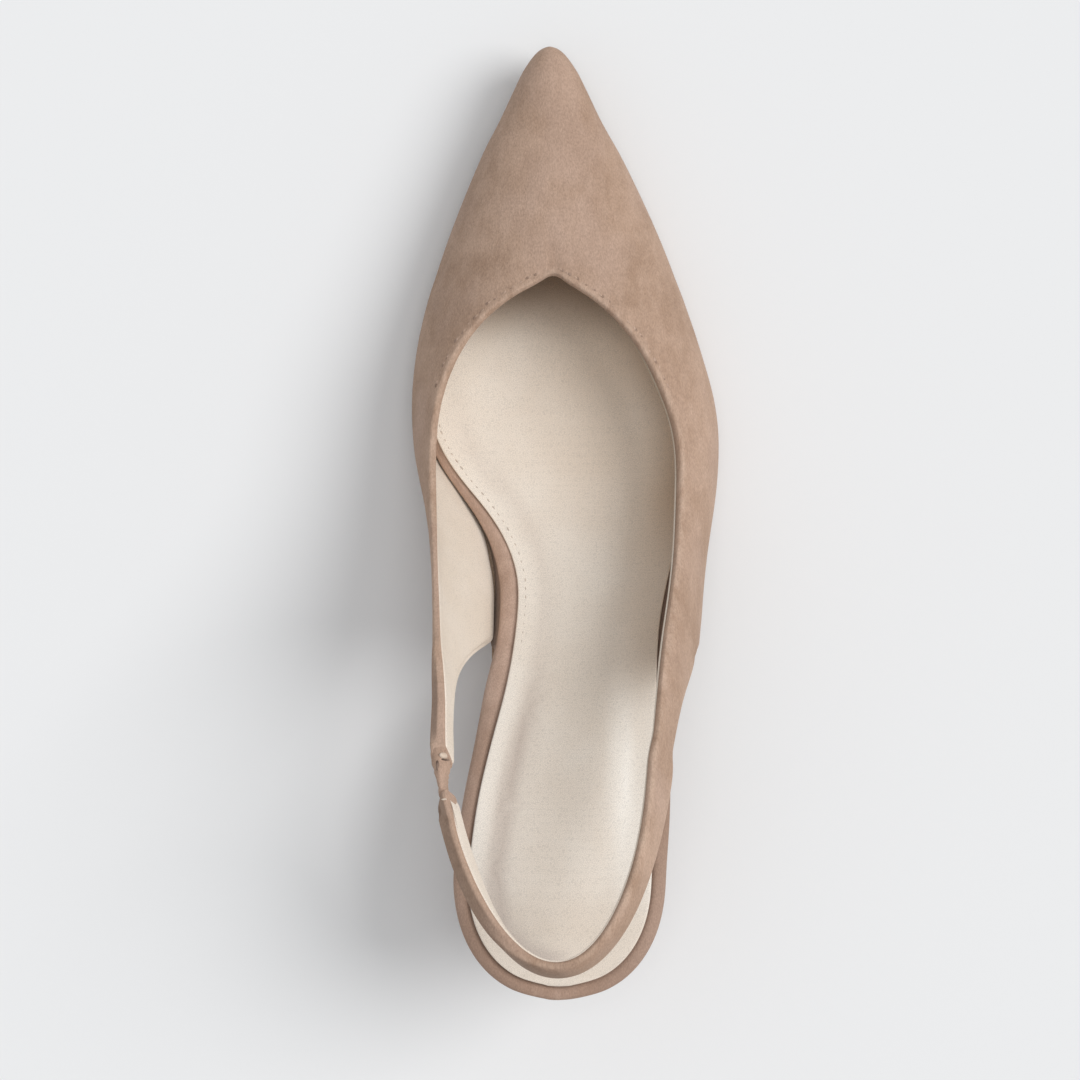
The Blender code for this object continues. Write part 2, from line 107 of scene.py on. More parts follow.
def mixed(tree, factor, first, second, blend="MIX"):
    node = addNode(tree, "Mix", data_type="RGBA", blend_type=blend)
    for socket, value in ((0, factor), (6, first), (7, second)):
        if isinstance(value, (int, float, tuple)):
            node.inputs[socket].default_value = (*value, 1.0) if isinstance(value, tuple) else value
        else:
            join(tree, value, node.inputs[socket])
    return node.outputs[2]


def napGroup():    # brushed suede: slow clouds, streaks along the nap, single fibres
    group, given, made = newGroup(
        "suedeNap", {"coords": "Vector", "cloudScale": "Float", "fibreScale": "Float"},
        ("clouds", "streaks", "fibres", "blush", "height"))
    coords = given.outputs["coords"]
    clouds = noiseOf(group, coords, given.outputs["cloudScale"], 4.0, 0.55)
    streaks = noiseOf(group, coords, given.outputs["cloudScale"], 3.0, 0.6, (5.0, 1.6, 5.0))
    fibres = noiseOf(group, coords, given.outputs["fibreScale"], 3.0, 0.7, (1.0, 0.45, 1.0))
    height = calc(group, "ADD", fibres, calc(group, "MULTIPLY", streaks, 0.7))
    join(group, spread(group, clouds, 0.32, 0.68), made.inputs["clouds"])
    join(group, spread(group, streaks, 0.3, 0.7), made.inputs["streaks"])
    join(group, spread(group, fibres, 0.25, 0.75), made.inputs["fibres"])
    blushScale = calc(group, "MULTIPLY", given.outputs["cloudScale"], 0.62)
    blush = noiseOf(group, coords, blushScale, 3.0, 0.5, (1.0, 0.6, 1.0))
    join(group, spread(group, blush, 0.42, 0.66), made.inputs["blush"])
    join(group, height, made.inputs["height"])
    return group


def grainGroup():    # smooth leather: pores between flat cells, faint pulls and stains
    group, given, made = newGroup(
        "leatherGrain", {"coords": "Vector", "poreScale": "Float", "stainScale": "Float"},
        ("pores", "stains", "height"))
    coords = given.outputs["coords"]
    cells = addNode(group, "TexVoronoi", {"Randomness": 0.9}, feature="DISTANCE_TO_EDGE")
    join(group, coords, cells.inputs["Vector"])
    join(group, given.outputs["poreScale"], cells.inputs["Scale"])
    flats = spread(group, cells.outputs["Distance"], 0.0, 0.18)
    stains = noiseOf(group, coords, given.outputs["stainScale"], 4.0, 0.55)
    pulls = noiseOf(group, coords, given.outputs["stainScale"], 3.0, 0.6, (9.0, 3.0, 9.0))
    join(group, flats, made.inputs["pores"])
    join(group, spread(group, stains, 0.3, 0.7), made.inputs["stains"])
    join(group, calc(group, "ADD", calc(group, "MULTIPLY", flats, 0.5), pulls), made.inputs["height"])
    return group


suedeNap = napGroup()
leatherGrain = grainGroup()


def newMaterial(name, roughness, fixed):    # a Principled material and its Object coordinates
    material = bpy.data.materials.new(name)
    material.use_nodes = True
    tree = material.node_tree
    shader = tree.nodes["Principled BSDF"]
    shader.inputs["Roughness"].default_value = roughness
    for socket, value in fixed.items():
        shader.inputs[socket].default_value = value
    coords = addNode(tree, "TexCoord").outputs["Object"]
    return material, tree, shader, coords


def addBump(tree, shader, height, strength, depth):
    bump = addNode(tree, "Bump", {"Strength": strength, "Distance": depth * mm})
    join(tree, height, bump.inputs["Height"])
    join(tree, bump.outputs["Normal"], shader.inputs["Normal"])


def placeGroup(tree, group, coords, look, *sockets):
    node = addNode(tree, "Group", node_tree=group)
    join(tree, coords, node.inputs["coords"])
    for socket in sockets:
        node.inputs[socket].default_value = look[socket]
    return node.outputs


def markOf(tree, name):    # an attribute of the mesh
    return addNode(tree, "Attribute", attribute_name=name).outputs["Fac"]


def shaded(tree, colour, value, depth):    # a colour lighter or darker by up to half the depth
    shade = calc(tree, "ADD", calc(tree, "MULTIPLY", value, depth), 1 - depth / 2)
    grey = addNode(tree, "CombineColor")
    for channel in ("Red", "Green", "Blue"):
        join(tree, shade, grey.inputs[channel])
    return mixed(tree, 1.0, colour, grey.outputs["Color"], "MULTIPLY")


suedeLook = {
    "dark": (0.360, 0.236, 0.165),
    "light": (0.479, 0.330, 0.245),
    "blush": (0.470, 0.333, 0.265),
    "worn": (0.522, 0.375, 0.284),
    # painted shade, mixed in by an attribute of the mesh
    "paintedShadeColour": (0.110, 0.072, 0.052),
    "cloudScale": 85.0,     # per metre
    "fibreScale": 2600.0,
    "cloudShare": 0.55,
    "streakShare": 0.35,
    "brushAndLightShare": 0.6,
    "blushShare": 0.4,
    "fibreShade": 0.33,
    "napDepth": 0.35,       # mm
    "napStrength": 0.55,
    "sheen": {"Sheen Weight": 0.12, "Sheen Roughness": 0.45, "Sheen Tint": (0.95, 0.80, 0.68, 1.0),
              "Specular IOR Level": 0.2},
}


def suedeMaterial(name, look, marked=False):
    material, tree, shader, coords = newMaterial(name, 0.95, look["sheen"])
    nap = placeGroup(tree, suedeNap, coords, look, "cloudScale", "fibreScale")
    clouds = calc(tree, "MULTIPLY", nap["clouds"], look["cloudShare"])
    blend = calc(tree, "ADD", clouds, calc(tree, "MULTIPLY", nap["streaks"], look["streakShare"]))
    if marked:    # hand strokes in the nap, with painted light and shade added
        strokesAndPaintedLight = calc(tree, "MULTIPLY", markOf(tree, "brushAndPaintedLight"), look["brushAndLightShare"])
        blend = calc(tree, "ADD", blend, strokesAndPaintedLight)
    colour = mixed(tree, blend, look["dark"], look["light"])
    colour = mixed(tree, calc(tree, "MULTIPLY", nap["blush"], look["blushShare"]), colour, look["blush"])
    if marked:    # a folded edge rubbed lighter, and painted shade
        rubbed = calc(tree, "MULTIPLY", markOf(tree, "edge"), nap["streaks"])
        colour = mixed(tree, rubbed, colour, look["worn"])
        colour = mixed(tree, markOf(tree, "paintedShade"), colour, look["paintedShadeColour"])
    join(tree, shaded(tree, colour, nap["fibres"], look["fibreShade"]), shader.inputs["Base Color"])
    addBump(tree, shader, nap["height"], look["napStrength"], look["napDepth"])
    return material


creamLook = {
    "pale": (0.762, 0.674, 0.580),
    "warm": (0.725, 0.630, 0.530),
    "poreScale": 2400.0,    # per metre
    "stainScale": 60.0,
    "poreShade": 0.22,
    "glossSpread": 0.12,    # of the roughness, over the stains
    "grainDepth": 0.10,     # mm
    "grainStrength": 0.35,
    "fixed": {"Specular IOR Level": 0.4, "Coat Weight": 0.04, "Coat Roughness": 0.45},
}
sockMarks = ("paintedSockLight", "treadAndPaintedShade", "paintedValleyShade", "paintedWallShade", "toeShade")    # attributes of the sock's mesh
liningMarks = ("paintedEdgeShade", "gapShade")    # and of the upper's


def leatherMaterial(name, look, roughness):
    material, tree, shader, coords = newMaterial(name, roughness, look["fixed"])
    grain = placeGroup(tree, leatherGrain, coords, look, "poreScale", "stainScale")
    colour = mixed(tree, grain["stains"], look["pale"], look["warm"])
    for mark in (*sockMarks, *liningMarks):
        if mark in look:
            colour = mixed(tree, markOf(tree, mark), colour, look[mark])
    join(tree, shaded(tree, colour, grain["pores"], look["poreShade"]), shader.inputs["Base Color"])
    gloss = calc(tree, "MULTIPLY", grain["stains"], look["glossSpread"])
    gloss = calc(tree, "ADD", gloss, roughness - look["glossSpread"] / 2)
    join(tree, gloss, shader.inputs["Roughness"])
    addBump(tree, shader, grain["height"], look["grainStrength"], look["grainDepth"])
    return material


suede = suedeMaterial("suede", suedeLook, marked=True)
heelSuede = suedeMaterial("heelSuede", suedeLook)
elasticSuede = suedeMaterial("elasticSuede", {**suedeLook, "fibreScale": 3200.0, "napDepth": 0.3})
# painted shade on the lining's edge along the outer side and behind the rand
liningLook = {**creamLook, "paintedEdgeShade": (0.330, 0.250, 0.175), "gapShade": (0.130, 0.090, 0.060)}
lining = leatherMaterial("lining", liningLook, 0.62)
footLook = {
    **creamLook,
    "pale": (0.757, 0.680, 0.593),
    "warm": (0.714, 0.627, 0.535),
    "stainScale": 45.0,
    # painted light along the margin, tread wear with painted shade, and painted shade in the trough, by
    # the outer wall and under the vamp
    "paintedSockLight": (0.925, 0.880, 0.810),
    "treadAndPaintedShade": (0.655, 0.530, 0.415),
    "paintedValleyShade": (0.545, 0.460, 0.395),
    "paintedWallShade": (0.390, 0.230, 0.110),
    "toeShade": (0.300, 0.200, 0.128),
}
sockLeather = leatherMaterial("sockLeather", footLook, 0.55)
# the toe box's lining is dark as a painted shade under the vamp
toeShadeLook = {**creamLook, "pale": (0.262, 0.184, 0.128), "warm": (0.220, 0.152, 0.104)}
paintedShadeToeLining = leatherMaterial("paintedShadeToeLining", toeShadeLook, 0.75)
randLook = {
    **suedeLook,
    "dark": (0.362, 0.240, 0.178),
    "light": (0.520, 0.368, 0.290),
    "fibreScale": 3400.0,
    "cloudScale": 60.0,
    "napDepth": 0.16,
}
randSuede = suedeMaterial("randSuede", randLook, marked=True)
soleLook = {
    **creamLook,
    "pale": (0.440, 0.310, 0.215),
    "warm": (0.380, 0.260, 0.175),
    "poreScale": 1100.0,
}
soleLeather = leatherMaterial("soleLeather", soleLook, 0.5)
tipLook = {
    **creamLook,
    "pale": (0.075, 0.060, 0.052),
    "warm": (0.060, 0.048, 0.042),
    "poreScale": 2200.0,
}
tipRubber = leatherMaterial("tipRubber", tipLook, 0.7)
rawLook = {**suedeLook, "dark": (0.680, 0.560, 0.445), "light": (0.840, 0.745, 0.635)}
rawEdge = suedeMaterial("rawEdge", rawLook)
threadLook = {
    **suedeLook,
    "dark": (0.400, 0.270, 0.195),
    "light": (0.540, 0.390, 0.300),
    "cloudScale": 900.0,
}
toplineThread = suedeMaterial("toplineThread", threadLook)
sockThreadLook = {**threadLook, "dark": (0.500, 0.430, 0.355), "light": (0.620, 0.540, 0.460)}
sockThread = suedeMaterial("sockThread", sockThreadLook)
# painted shade: the needle pits are dark beads
pitLook = {**threadLook, "dark": (0.255, 0.168, 0.121), "light": (0.325, 0.222, 0.165)}
paintedPitShade = suedeMaterial("paintedPitShade", pitLook)
# painted shade: dark beads in the hollows at the tail's end
shadePocketLook = {**threadLook, "dark": (0.070, 0.045, 0.032), "light": (0.110, 0.074, 0.053)}
paintedShadePocket = suedeMaterial("paintedShadePocket", shadePocketLook)
print("materials made:", len(bpy.data.materials))


# Mesh tools

def nodeCopy(name):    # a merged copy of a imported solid, its triangles joined back into quads
    bm = bmesh.new()
    bm.from_mesh(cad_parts[name].data)
    bmesh.ops.remove_doubles(bm, verts=bm.verts, dist=0.002 * mm)
    bmesh.ops.join_triangles(
        bm, faces=bm.faces, angle_face_threshold=math.radians(25),
        angle_shape_threshold=math.radians(180))
    return bm


def facesWithin(seed, limit):    # faces reached from the seed without crossing an edge past the limit
    reached = {seed}
    front = [seed]
    while front:
        for edge in front.pop().edges:
            if edge.calc_face_angle(math.pi) > math.radians(limit):
                continue
            for face in edge.link_faces:
                if face not in reached:
                    reached.add(face)
                    front.append(face)
    return reached


def rimOf(bm, faces):
    return [edge for edge in bm.edges if sum(face in faces for face in edge.link_faces) == 1]


def nearestFace(bm, spot):
    spot = Vector(spot) * mm
    return min(bm.faces, key=lambda face: (face.calc_center_median() - spot).length)


def flatTop(bm):    # a plate's top, as far as edges of 15 degrees
    upward = [face for face in bm.faces if face.normal.z > 0.8]
    return facesWithin(max(upward, key=lambda face: face.calc_area()), 15)


def newPiece(name, bm, materials, nodes=()):
    mesh = bpy.data.meshes.new(name)
    bm.to_mesh(mesh)
    bm.free()
    for material in materials:
        mesh.materials.append(material)
    mesh.shade_smooth()
    piece = bpy.data.objects.new(name, mesh)
    scene.collection.objects.link(piece)
    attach(piece, "root")
    if nodes:
        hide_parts(*nodes)
    return piece


def subdivide(piece, levels):    # a subdivision surface, applied
    modifier = piece.modifiers.new("round", "SUBSURF")
    modifier.levels = levels
    modifier.render_levels = levels
    shown = piece.evaluated_get(bpy.context.evaluated_depsgraph_get())
    mesh = bpy.data.meshes.new_from_object(shown)
    piece.modifiers.clear()
    rough = piece.data
    piece.data = mesh
    bpy.data.meshes.remove(rough)
    mesh.name = piece.name


def bell(distance, width):
    return math.exp(-(distance / width) ** 2)


def smoothStep(low, high, value):
    share = max(0.0, min(1.0, (value - low) / (high - low)))
    return share * share * (3 - 2 * share)


def ramp(look, value):    # from the first of two values to the last, over a span
    first, last = look["values"]
    return first + (last - first) * smoothStep(*look["span"], value)


def within(span, value):    # 1 between the two inner places of the span, 0 beyond the outer ones
    before, low, high, after = span
    return smoothStep(before, low, value) * smoothStep(after, high, value)


def addMarks(mesh, names):    # attributes for the materials, all made before the first is filled
    for name in names:
        mesh.attributes.new(name, "FLOAT", "POINT")
    return [mesh.attributes[name].data for name in names]


def shiftAll(mesh, moves):
    for vert, move in zip(mesh.vertices, moves):
        vert.co += move
    mesh.update()


def keepEdges(bm, sharpness, facing=1.0, angle=50.0):    # where a side's normal is lower than facing
    layer = bm.edges.layers.float.new("crease_edge")
    for edge in bm.edges:
        lowest = min(face.normal.z for face in edge.link_faces)
        if lowest < facing and edge.calc_face_angle(0) > math.radians(angle):
            edge[layer] = sharpness


def report(piece):
    piece.data.calc_loop_triangles()
    print("piece", piece.name, len(piece.data.loop_triangles), "triangles")


# Upper: suede outside and round the folded edge, cream lining inside

upperLook = {
    "levels": 2,
    "vampSpot": (0.0, 90.0, 35.0),    # mm, on top of the vamp
    "sharp": 45.0,        # degrees, the wall meets its cut edge at more than this
    "toplineAbove": 30.0, # mm high, the topline's foremost point is the throat
    "quarterEnd": -58.0,  # mm along the shoe, as far as the quarters' end
    "featherFrom": 25.0,  # mm along the shoe, in front of this the lower edge is hidden on the sole
    "featherBelow": 24.0, # mm high
    "liningFrom": 15.0,   # mm along the shoe, behind this the lining runs to the lower edge
    "toeFrom": 66.0,      # mm along the shoe, the toe box's lining is painted dark, a painted shade
    "outerRoll": 0.9,     # mm, radius of the folded edge outside
    "innerRoll": 0.22,    # mm, inside
    "turnIn": 0.8,        # mm of suede folded over to the inside
    "outerSideTurnIn": 0.3,    # share of it left along the outer side, where the lining shows
    "strapTurnIn": {"values": (1.0, 3.0), "span": (-80.0, -73.0)},    # times, at the strap's end
    "strapAbove": 76.0,   # mm high
    "liningStep": 0.4,    # mm, the lining stands on the fold
    "liningCut": 0.18,    # mm, its cut edge
    "bead": 1.15,         # mm, the lining's edge shows this far past the fold along the outer side
    "beadFront": (52.0, 38.0),    # mm along the shoe, it begins
    "beadBack": {"values": (0.3, 1.0), "span": (-60.0, -35.0)},    # share of it towards the back
    "beadSide": (0.0, 8.0),       # mm across the shoe
    "thinRim": 2.3,       # mm, an edge thinner than this has no slope
    "thickRim": 3.6,      # mm, and one thicker has all of it
    "foldDrop": 2.6,      # mm, the outer half of a thick edge slopes down from a ridge
    "foldShare": {"values": (0.5, 0.75), "span": (-66.0, -72.0)},    # of its width, tail and strap
    "foldFrom": (-26.0, -48.0),   # mm along the shoe, the slope begins
    "foldGap": (-70.0, -68.0, -60.0, -54.0),    # mm along the shoe, flat where the elastic runs in
    "foldReach": 4.6,     # mm down the side that gives way
    "endsBeside": -22.0,  # mm, both ends are further out than this on the arch side
    "endsAbove": 60.0,    # mm, and higher than this
    "tailLip": 2.3,       # mm, the tail's outer layer runs on beside the elastic
    "tailLean": 0.4,      # mm, and leans in
    "endRound": 1.1,      # mm, the strap's end is rounded on its outer side
    "endSquare": 1.3,     # mm, and runs on along its inner side
    "pull": 0.55,         # mm, the topline is drawn open in front
    "pullArch": {"values": (1.0, 2.0), "span": (12.0, -6.0)},      # more towards the arch
    "pullFront": (0.0, 25.0),     # mm along the shoe
    "pullThroat": {"values": (1.0, 0.4), "span": (50.0, 64.0)},    # less at the throat
    "pullWidth": 6.0,     # mm from the edge
    "steepest": 0.6,      # fall of the vamp that the throat's point follows
    # In mm: the throat's point reaches forward, the lining is drawn in to the rand, the tail leans out
    # to the elastic, and the outer quarter's lower end stands off
    "peak": {"move": 0.9, "spot": -3.6, "reach": 3.0, "span": (40.0, 55.0)},
    "tuck": {"move": 1.6, "reach": 6.0, "along": (-14.0, -2.0, 6.0, 19.0)},
    "tailOut": {"move": 0.45, "beside": -25.0, "along": (-70.0, -67.0, -58.0, -46.0)},
    "flare": {"move": 0.85, "beside": 20.0, "along": (-38.0, -33.5, -29.0, -8.0)},
    "pinches": (    # from and to in mm along the shoe, and the share that the toe is drawn in
        (98.0, 110.0, 0.035),
        (119.0, 129.0, 0.2),
    ),
    "toeLine": -4.2,      # mm, the toe's own middle line
    "unevenness": 0.12,   # mm, slow waves in the skin
    "waveSize": 17.0,
    "edgeWear": 1.3,      # mm, how far the rubbed edge reaches
    "strapFrom": (-28.0, -44.0),  # mm along the shoe, the tail and strap begin
    "ridgeSide": (-10.0, -22.0),  # mm across the shoe, to the arch side
    "paintedRidgeLight": 0.9,     # painted highlight: the ridge there is painted pale where it faces up
    "paintedSideShade": 0.3,      # painted shade: the side away from the light is painted dark
    "outerSide": (4.0, 12.0),     # mm across the shoe
    "paintedLipShade": 0.2,       # painted shade: the edge beside the lining there is painted dark too
    "lipOver": (0.9, 1.7),        # mm over the edge
    "lipNear": (4.0, 2.5),        # mm from it
    "grey": {"values": (0.25, 0.9), "span": (-10.0, 32.0)},    # painted shade on the lining's edge there, along the shoe
    "greyNear": (4.5, 3.0),       # mm from the edge
    "archSide": -5.0,     # mm across the shoe, the arch is beyond
    "gap": {"values": (1.2, 3.8), "span": (0.0, -28.0)},       # mm of painted shade on the lining behind the rand
    "gapAlong": (-37.0, -33.0, 10.0, 24.0),     # mm along the shoe
    "gapShade": 0.9,
}
creases = [    # soft troughs and ridges in plan, mm
    {"start": (-3.4, 65.0), "end": (-3.6, 75.5), "width": 1.3, "rise": -0.45},
    {"start": (-5.9, 66.5), "end": (-5.6, 73.0), "width": 1.9, "rise": 0.14},
    {"start": (-1.0, 66.5), "end": (-1.3, 73.0), "width": 1.9, "rise": 0.12},
    {"start": (-2.0, 89.0), "end": (-0.2, 89.6), "width": 2.4, "rise": -0.28},
    {"start": (-2.5, 84.0), "end": (-2.0, 98.0), "width": 6.0, "rise": 0.18},
    {"start": (-33.2, -75.6), "end": (-31.3, -78.0), "width": 0.9, "rise": -0.45},
]
brushAndPaintedShadeMarks = [    # marks in plan, mm: above zero is paler; strokes in the nap, and painted shade where noted
    {"spot": (-14.4, 80.5), "size": (9.0, 9.0), "tone": 0.85},
    {"spot": (0.6, 95.0), "size": (8.0, 5.0), "tone": 0.4},
    # painted shade in the crease in front of the throat
    {"spot": (-3.5, 71.0), "size": (1.0, 6.0), "tone": -0.4},
    {"spot": (8.1, 79.0), "size": (8.0, 8.0), "tone": 0.2},
    # painted shade in the dent
    {"spot": (-1.0, 89.2), "size": (2.6, 1.8), "tone": -0.6},
    {"spot": (-21.9, 68.3), "size": (4.0, 3.0), "tone": -0.5},
    {"spot": (-24.0, 72.5), "size": (6.0, 5.0), "tone": 0.7},
    {"spot": (36.0, 22.0), "size": (5.0, 18.0), "tone": 0.5},
    {"spot": (24.0, -83.0), "size": (6.0, 14.0), "tone": 0.6},
    {"spot": (-4.2, 108.0), "size": (9.0, 9.0), "tone": -0.2},
    {"spot": (-4.2, 122.0), "size": (6.0, 8.0), "tone": 0.4},
    {"spot": (22.6, 50.0), "size": (6.0, 10.0), "tone": -0.2},
    {"spot": (-12.0, 103.0), "size": (6.0, 10.0), "tone": 0.6},
    {"spot": (6.0, 104.0), "size": (6.0, 12.0), "tone": -1.0},
    {"spot": (-34.5, -22.0), "size": (3.0, 14.0), "tone": 0.6},
    {"spot": (19.7, 64.0), "size": (8.0, 10.0), "tone": -0.3},
    {"spot": (-37.0, 20.0), "size": (4.0, 20.0), "tone": 0.1},
    # painted shade on the strap's back, away from the light
    {"spot": (-3.0, -111.0), "size": (14.0, 7.0), "tone": -1.3},
    # painted shade in the strap's wrinkle
    {"spot": (-31.3, -77.7), "size": (1.2, 0.9), "tone": -1.0},
]


def creaseRise(crease, spot):
    start = Vector(crease["start"])
    along = Vector(crease["end"]) - start
    share = max(0.0, min(1.0, (spot - start).dot(along) / along.length_squared))
    return crease["rise"] * bell((spot - start - along * share).length, crease["width"])


def spotTone(mark, spot):
    away = spot - Vector(mark["spot"])
    return mark["tone"] * bell(math.hypot(away.x / mark["size"][0], away.y / mark["size"][1]), 1.0)


def rimWalk(rim, outer, start):    # the topline both ways from the throat: step, way in, skin normal
    byVertex = {}
    for edge in rim:
        for vert in edge.verts:
            byVertex.setdefault(vert, []).append(edge)
    walks = []
    for edge in byVertex[start]:
        vert = start
        walk = []
        while True:
            face = next(face for face in edge.link_faces if face in outer)
            along = (edge.other_vert(vert).co - vert.co).normalized()
            inward = face.calc_center_median() - vert.co
            inward = (inward - along * inward.dot(along)).normalized()
            walk.append((vert.co.copy(), edge.other_vert(vert).co.copy(), inward, face.normal.copy()))
            vert = edge.other_vert(vert)
            edge = next(other for other in byVertex[vert] if other is not edge)
            if vert is start:
                break
        walks.append(walk)
    return walks


def spotOf(vert):
    return vert.co.copy().freeze()


def edgeBars(bm, cut, outerVerts, innerVerts):    # the mesh edges across the cut edge, by inner rim spot
    bars = {}
    bm.edges.index_update()
    for edge in sorted({edge for face in cut for edge in face.edges}, key=lambda edge: edge.index):
        first = next((vert for vert in edge.verts if vert in outerVerts), None)
        last = next((vert for vert in edge.verts if vert in innerVerts), None)
        if first and last:
            up = sum((face.normal for face in edge.link_faces), Vector()).normalized()
            way = last.co - first.co
            bar = {"edge": edge, "first": first, "outer": spotOf(first), "way": way, "up": up}
            bars[spotOf(last)] = bar
    return bars


def rimSamples(walk, bars):    # close along the edge: outer line, way over it, normal, way into the skin
    byOuter = {bar["outer"]: bar for bar in bars.values()}
    samples = []
    for start, end, inward, normal in walk:
        first = byOuter.get(start.copy().freeze())
        last = byOuter.get(end.copy().freeze())
        if first and last:
            for share in (0.0, 0.25, 0.5, 0.75):
                way = first["way"].lerp(last["way"], share)
                up = first["up"].lerp(last["up"], share)
                samples.append((start.lerp(end, share), way, up, inward))
    return samples


def rimTree(samples):
    tree = KDTree(len(samples))
    for place, sample in enumerate(samples):
        tree.insert(sample[0], place)
    tree.balance()
    return tree, samples


def edgePlace(rim, spot):    # how far off, over and under the edge in mm, and the edge's directions
    tree, samples = rim
    outer, place, near = tree.find(spot)
    way, up, inward = samples[place][1:]
    over = (spot - outer).dot(way) / way.length
    under = (outer - spot).dot(up)
    return near / mm, over / mm, under / mm, way, up, inward


def leftBelow(under):    # share of a fold's move that is left this far down the side
    return max(0.0, 1 - max(0.0, under) / upperLook["foldReach"])


def foldThickEdges(piece, rim):    # strap and tail: the outer half of the edge slopes down from a ridge
    look = upperLook
    topline = rimTree([sample for sample in rim[1] if sample[2].z > 0.5])
    moves = []
    for vert in piece.data.vertices:
        near, over, under, way, up, inward = edgePlace(topline, vert.co)
        along = vert.co.y / mm
        width = way.length / mm
        slope = max(0.0, min(1.0, 1 - over / (ramp(look["foldShare"], along) * width)))
        thick = smoothStep(look["thinRim"], look["thickRim"], width) * smoothStep(*look["foldFrom"], along)
        if vert.co.x < look["endsBeside"] * mm:    # flat again where the elastic runs in
            thick *= 1 - within(look["foldGap"], along)
        move = -up * look["foldDrop"] * thick * slope * leftBelow(under)
        near, over, under, way, up, inward = edgePlace(rim, vert.co)
        end = smoothStep(0.3, 0.7, up.y) * leftBelow(under) ** 2
        moves.append((move + way.normalized() * look["endRound"] * end * slope) * mm)
    shiftAll(piece.data, moves)


def pullOpen(near, up, inward, spot):    # the topline drawn away from the opening
    look = upperLook
    peak = look["peak"]
    across, along = spot.xy / mm
    amount = look["pull"] * ramp(look["pullArch"], across) * smoothStep(*look["pullFront"], along)
    amount *= ramp(look["pullThroat"], along)
    rise = peak["move"] * bell(across - peak["spot"], peak["reach"]) * smoothStep(*peak["span"], along)
    fall = max(-look["steepest"], min(0.0, inward.z / max(0.3, inward.y)))    # along the skin
    pulled = inward * amount + Vector((0, 1, fall)) * rise
    return pulled * bell(near, look["pullWidth"]) * smoothStep(-0.5, 0.0, up.z) * mm


def insetAll(bm, faces, thickness, depth=0.0):
    bm.faces.index_update()
    ordered = sorted(faces, key=lambda face: face.index)    # the same order each run
    made = bmesh.ops.inset_region(
        bm, faces=ordered, use_boundary=True, use_even_offset=True,
        thickness=thickness * mm, depth=depth * mm)
    return made["faces"]


def insetPairs(bm, faces):    # each vertex on the rim of the faces, with the one just outside it
    region = {vert for face in faces for vert in face.verts}
    pairs = {}
    for vert in {vert for edge in rimOf(bm, faces) for vert in edge.verts}:
        beside = [edge.other_vert(vert) for edge in vert.link_edges]
        pairs[vert] = next(other for other in beside if other not in region)
    return pairs


def edgeShown(edge):    # the lower edge in front lies on the sole
    middle = edge.verts[0].co.lerp(edge.verts[1].co, 0.5) / mm
    return middle.y < upperLook["featherFrom"] or middle.z > upperLook["featherBelow"]


def turnSuedeIn(bm, inner, lowerRim):    # suede folded to the inside: gives each fold spot its rim spot
    look = upperLook
    for face in insetAll(bm, inner, look["turnIn"]):
        if not lowerRim & set(face.verts):
            face.material_index = 0
    folds = {}
    for vert, rimVert in insetPairs(bm, inner).items():
        if rimVert.co.x > 0:    # along the outer side the lining comes up to the fold
            vert.co = rimVert.co.lerp(vert.co, look["outerSideTurnIn"])
        elif rimVert.co.z > look["strapAbove"] * mm:    # further at the strap's end
            more = ramp(look["strapTurnIn"], rimVert.co.y / mm)
            inside = vert.co - rimVert.co
            vert.co = rimVert.co + inside.normalized() * min(inside.length, look["turnIn"] * mm) * more
        folds[spotOf(vert)] = spotOf(rimVert)
    return folds


def stepLining(bm, inner, folds, lowerSpots, bars):    # the lining's own edge stands on the fold
    look = upperLook
    insetAll(bm, inner, look["liningCut"], look["liningStep"])
    for vert, fold in insetPairs(bm, inner).items():
        rimSpot = folds[spotOf(fold)]
        bar = bars.get(rimSpot)
        if rimSpot in lowerSpots:    # flat there
            vert.co = fold.co + (fold.co - rimSpot).normalized() * look["liningCut"] * mm
        elif bar and bar["up"].z > 0.3:
            inward = Vector((*bar["way"].xy, 0)).normalized()
            bead = rimSpot + inward * look["bead"] * mm - Vector((0, 0, look["liningStep"] * mm))
            share = smoothStep(*look["beadFront"], rimSpot.y / mm) * ramp(look["beadBack"], rimSpot.y / mm)
            vert.co = vert.co.lerp(bead, share * smoothStep(*look["beadSide"], rimSpot.x / mm))


def shapeEnds(bm, bars):    # where tail and strap meet the elastic
    look = upperLook
    rimVerts = {spotOf(vert): vert for vert in bm.verts}
    for spot, bar in bars.items():
        if spot.x > look["endsBeside"] * mm or spot.z < look["endsAbove"] * mm:
            continue
        if bar["up"].y < -0.5:    # the tail's end
            way = bar["way"].normalized()
            bar["first"].co += (bar["up"] * look["tailLip"] + way * look["tailLean"]) * mm
        elif bar["up"].y > 0.5:    # the strap's end
            rimVerts[spot].co += bar["up"] * look["endSquare"] * mm


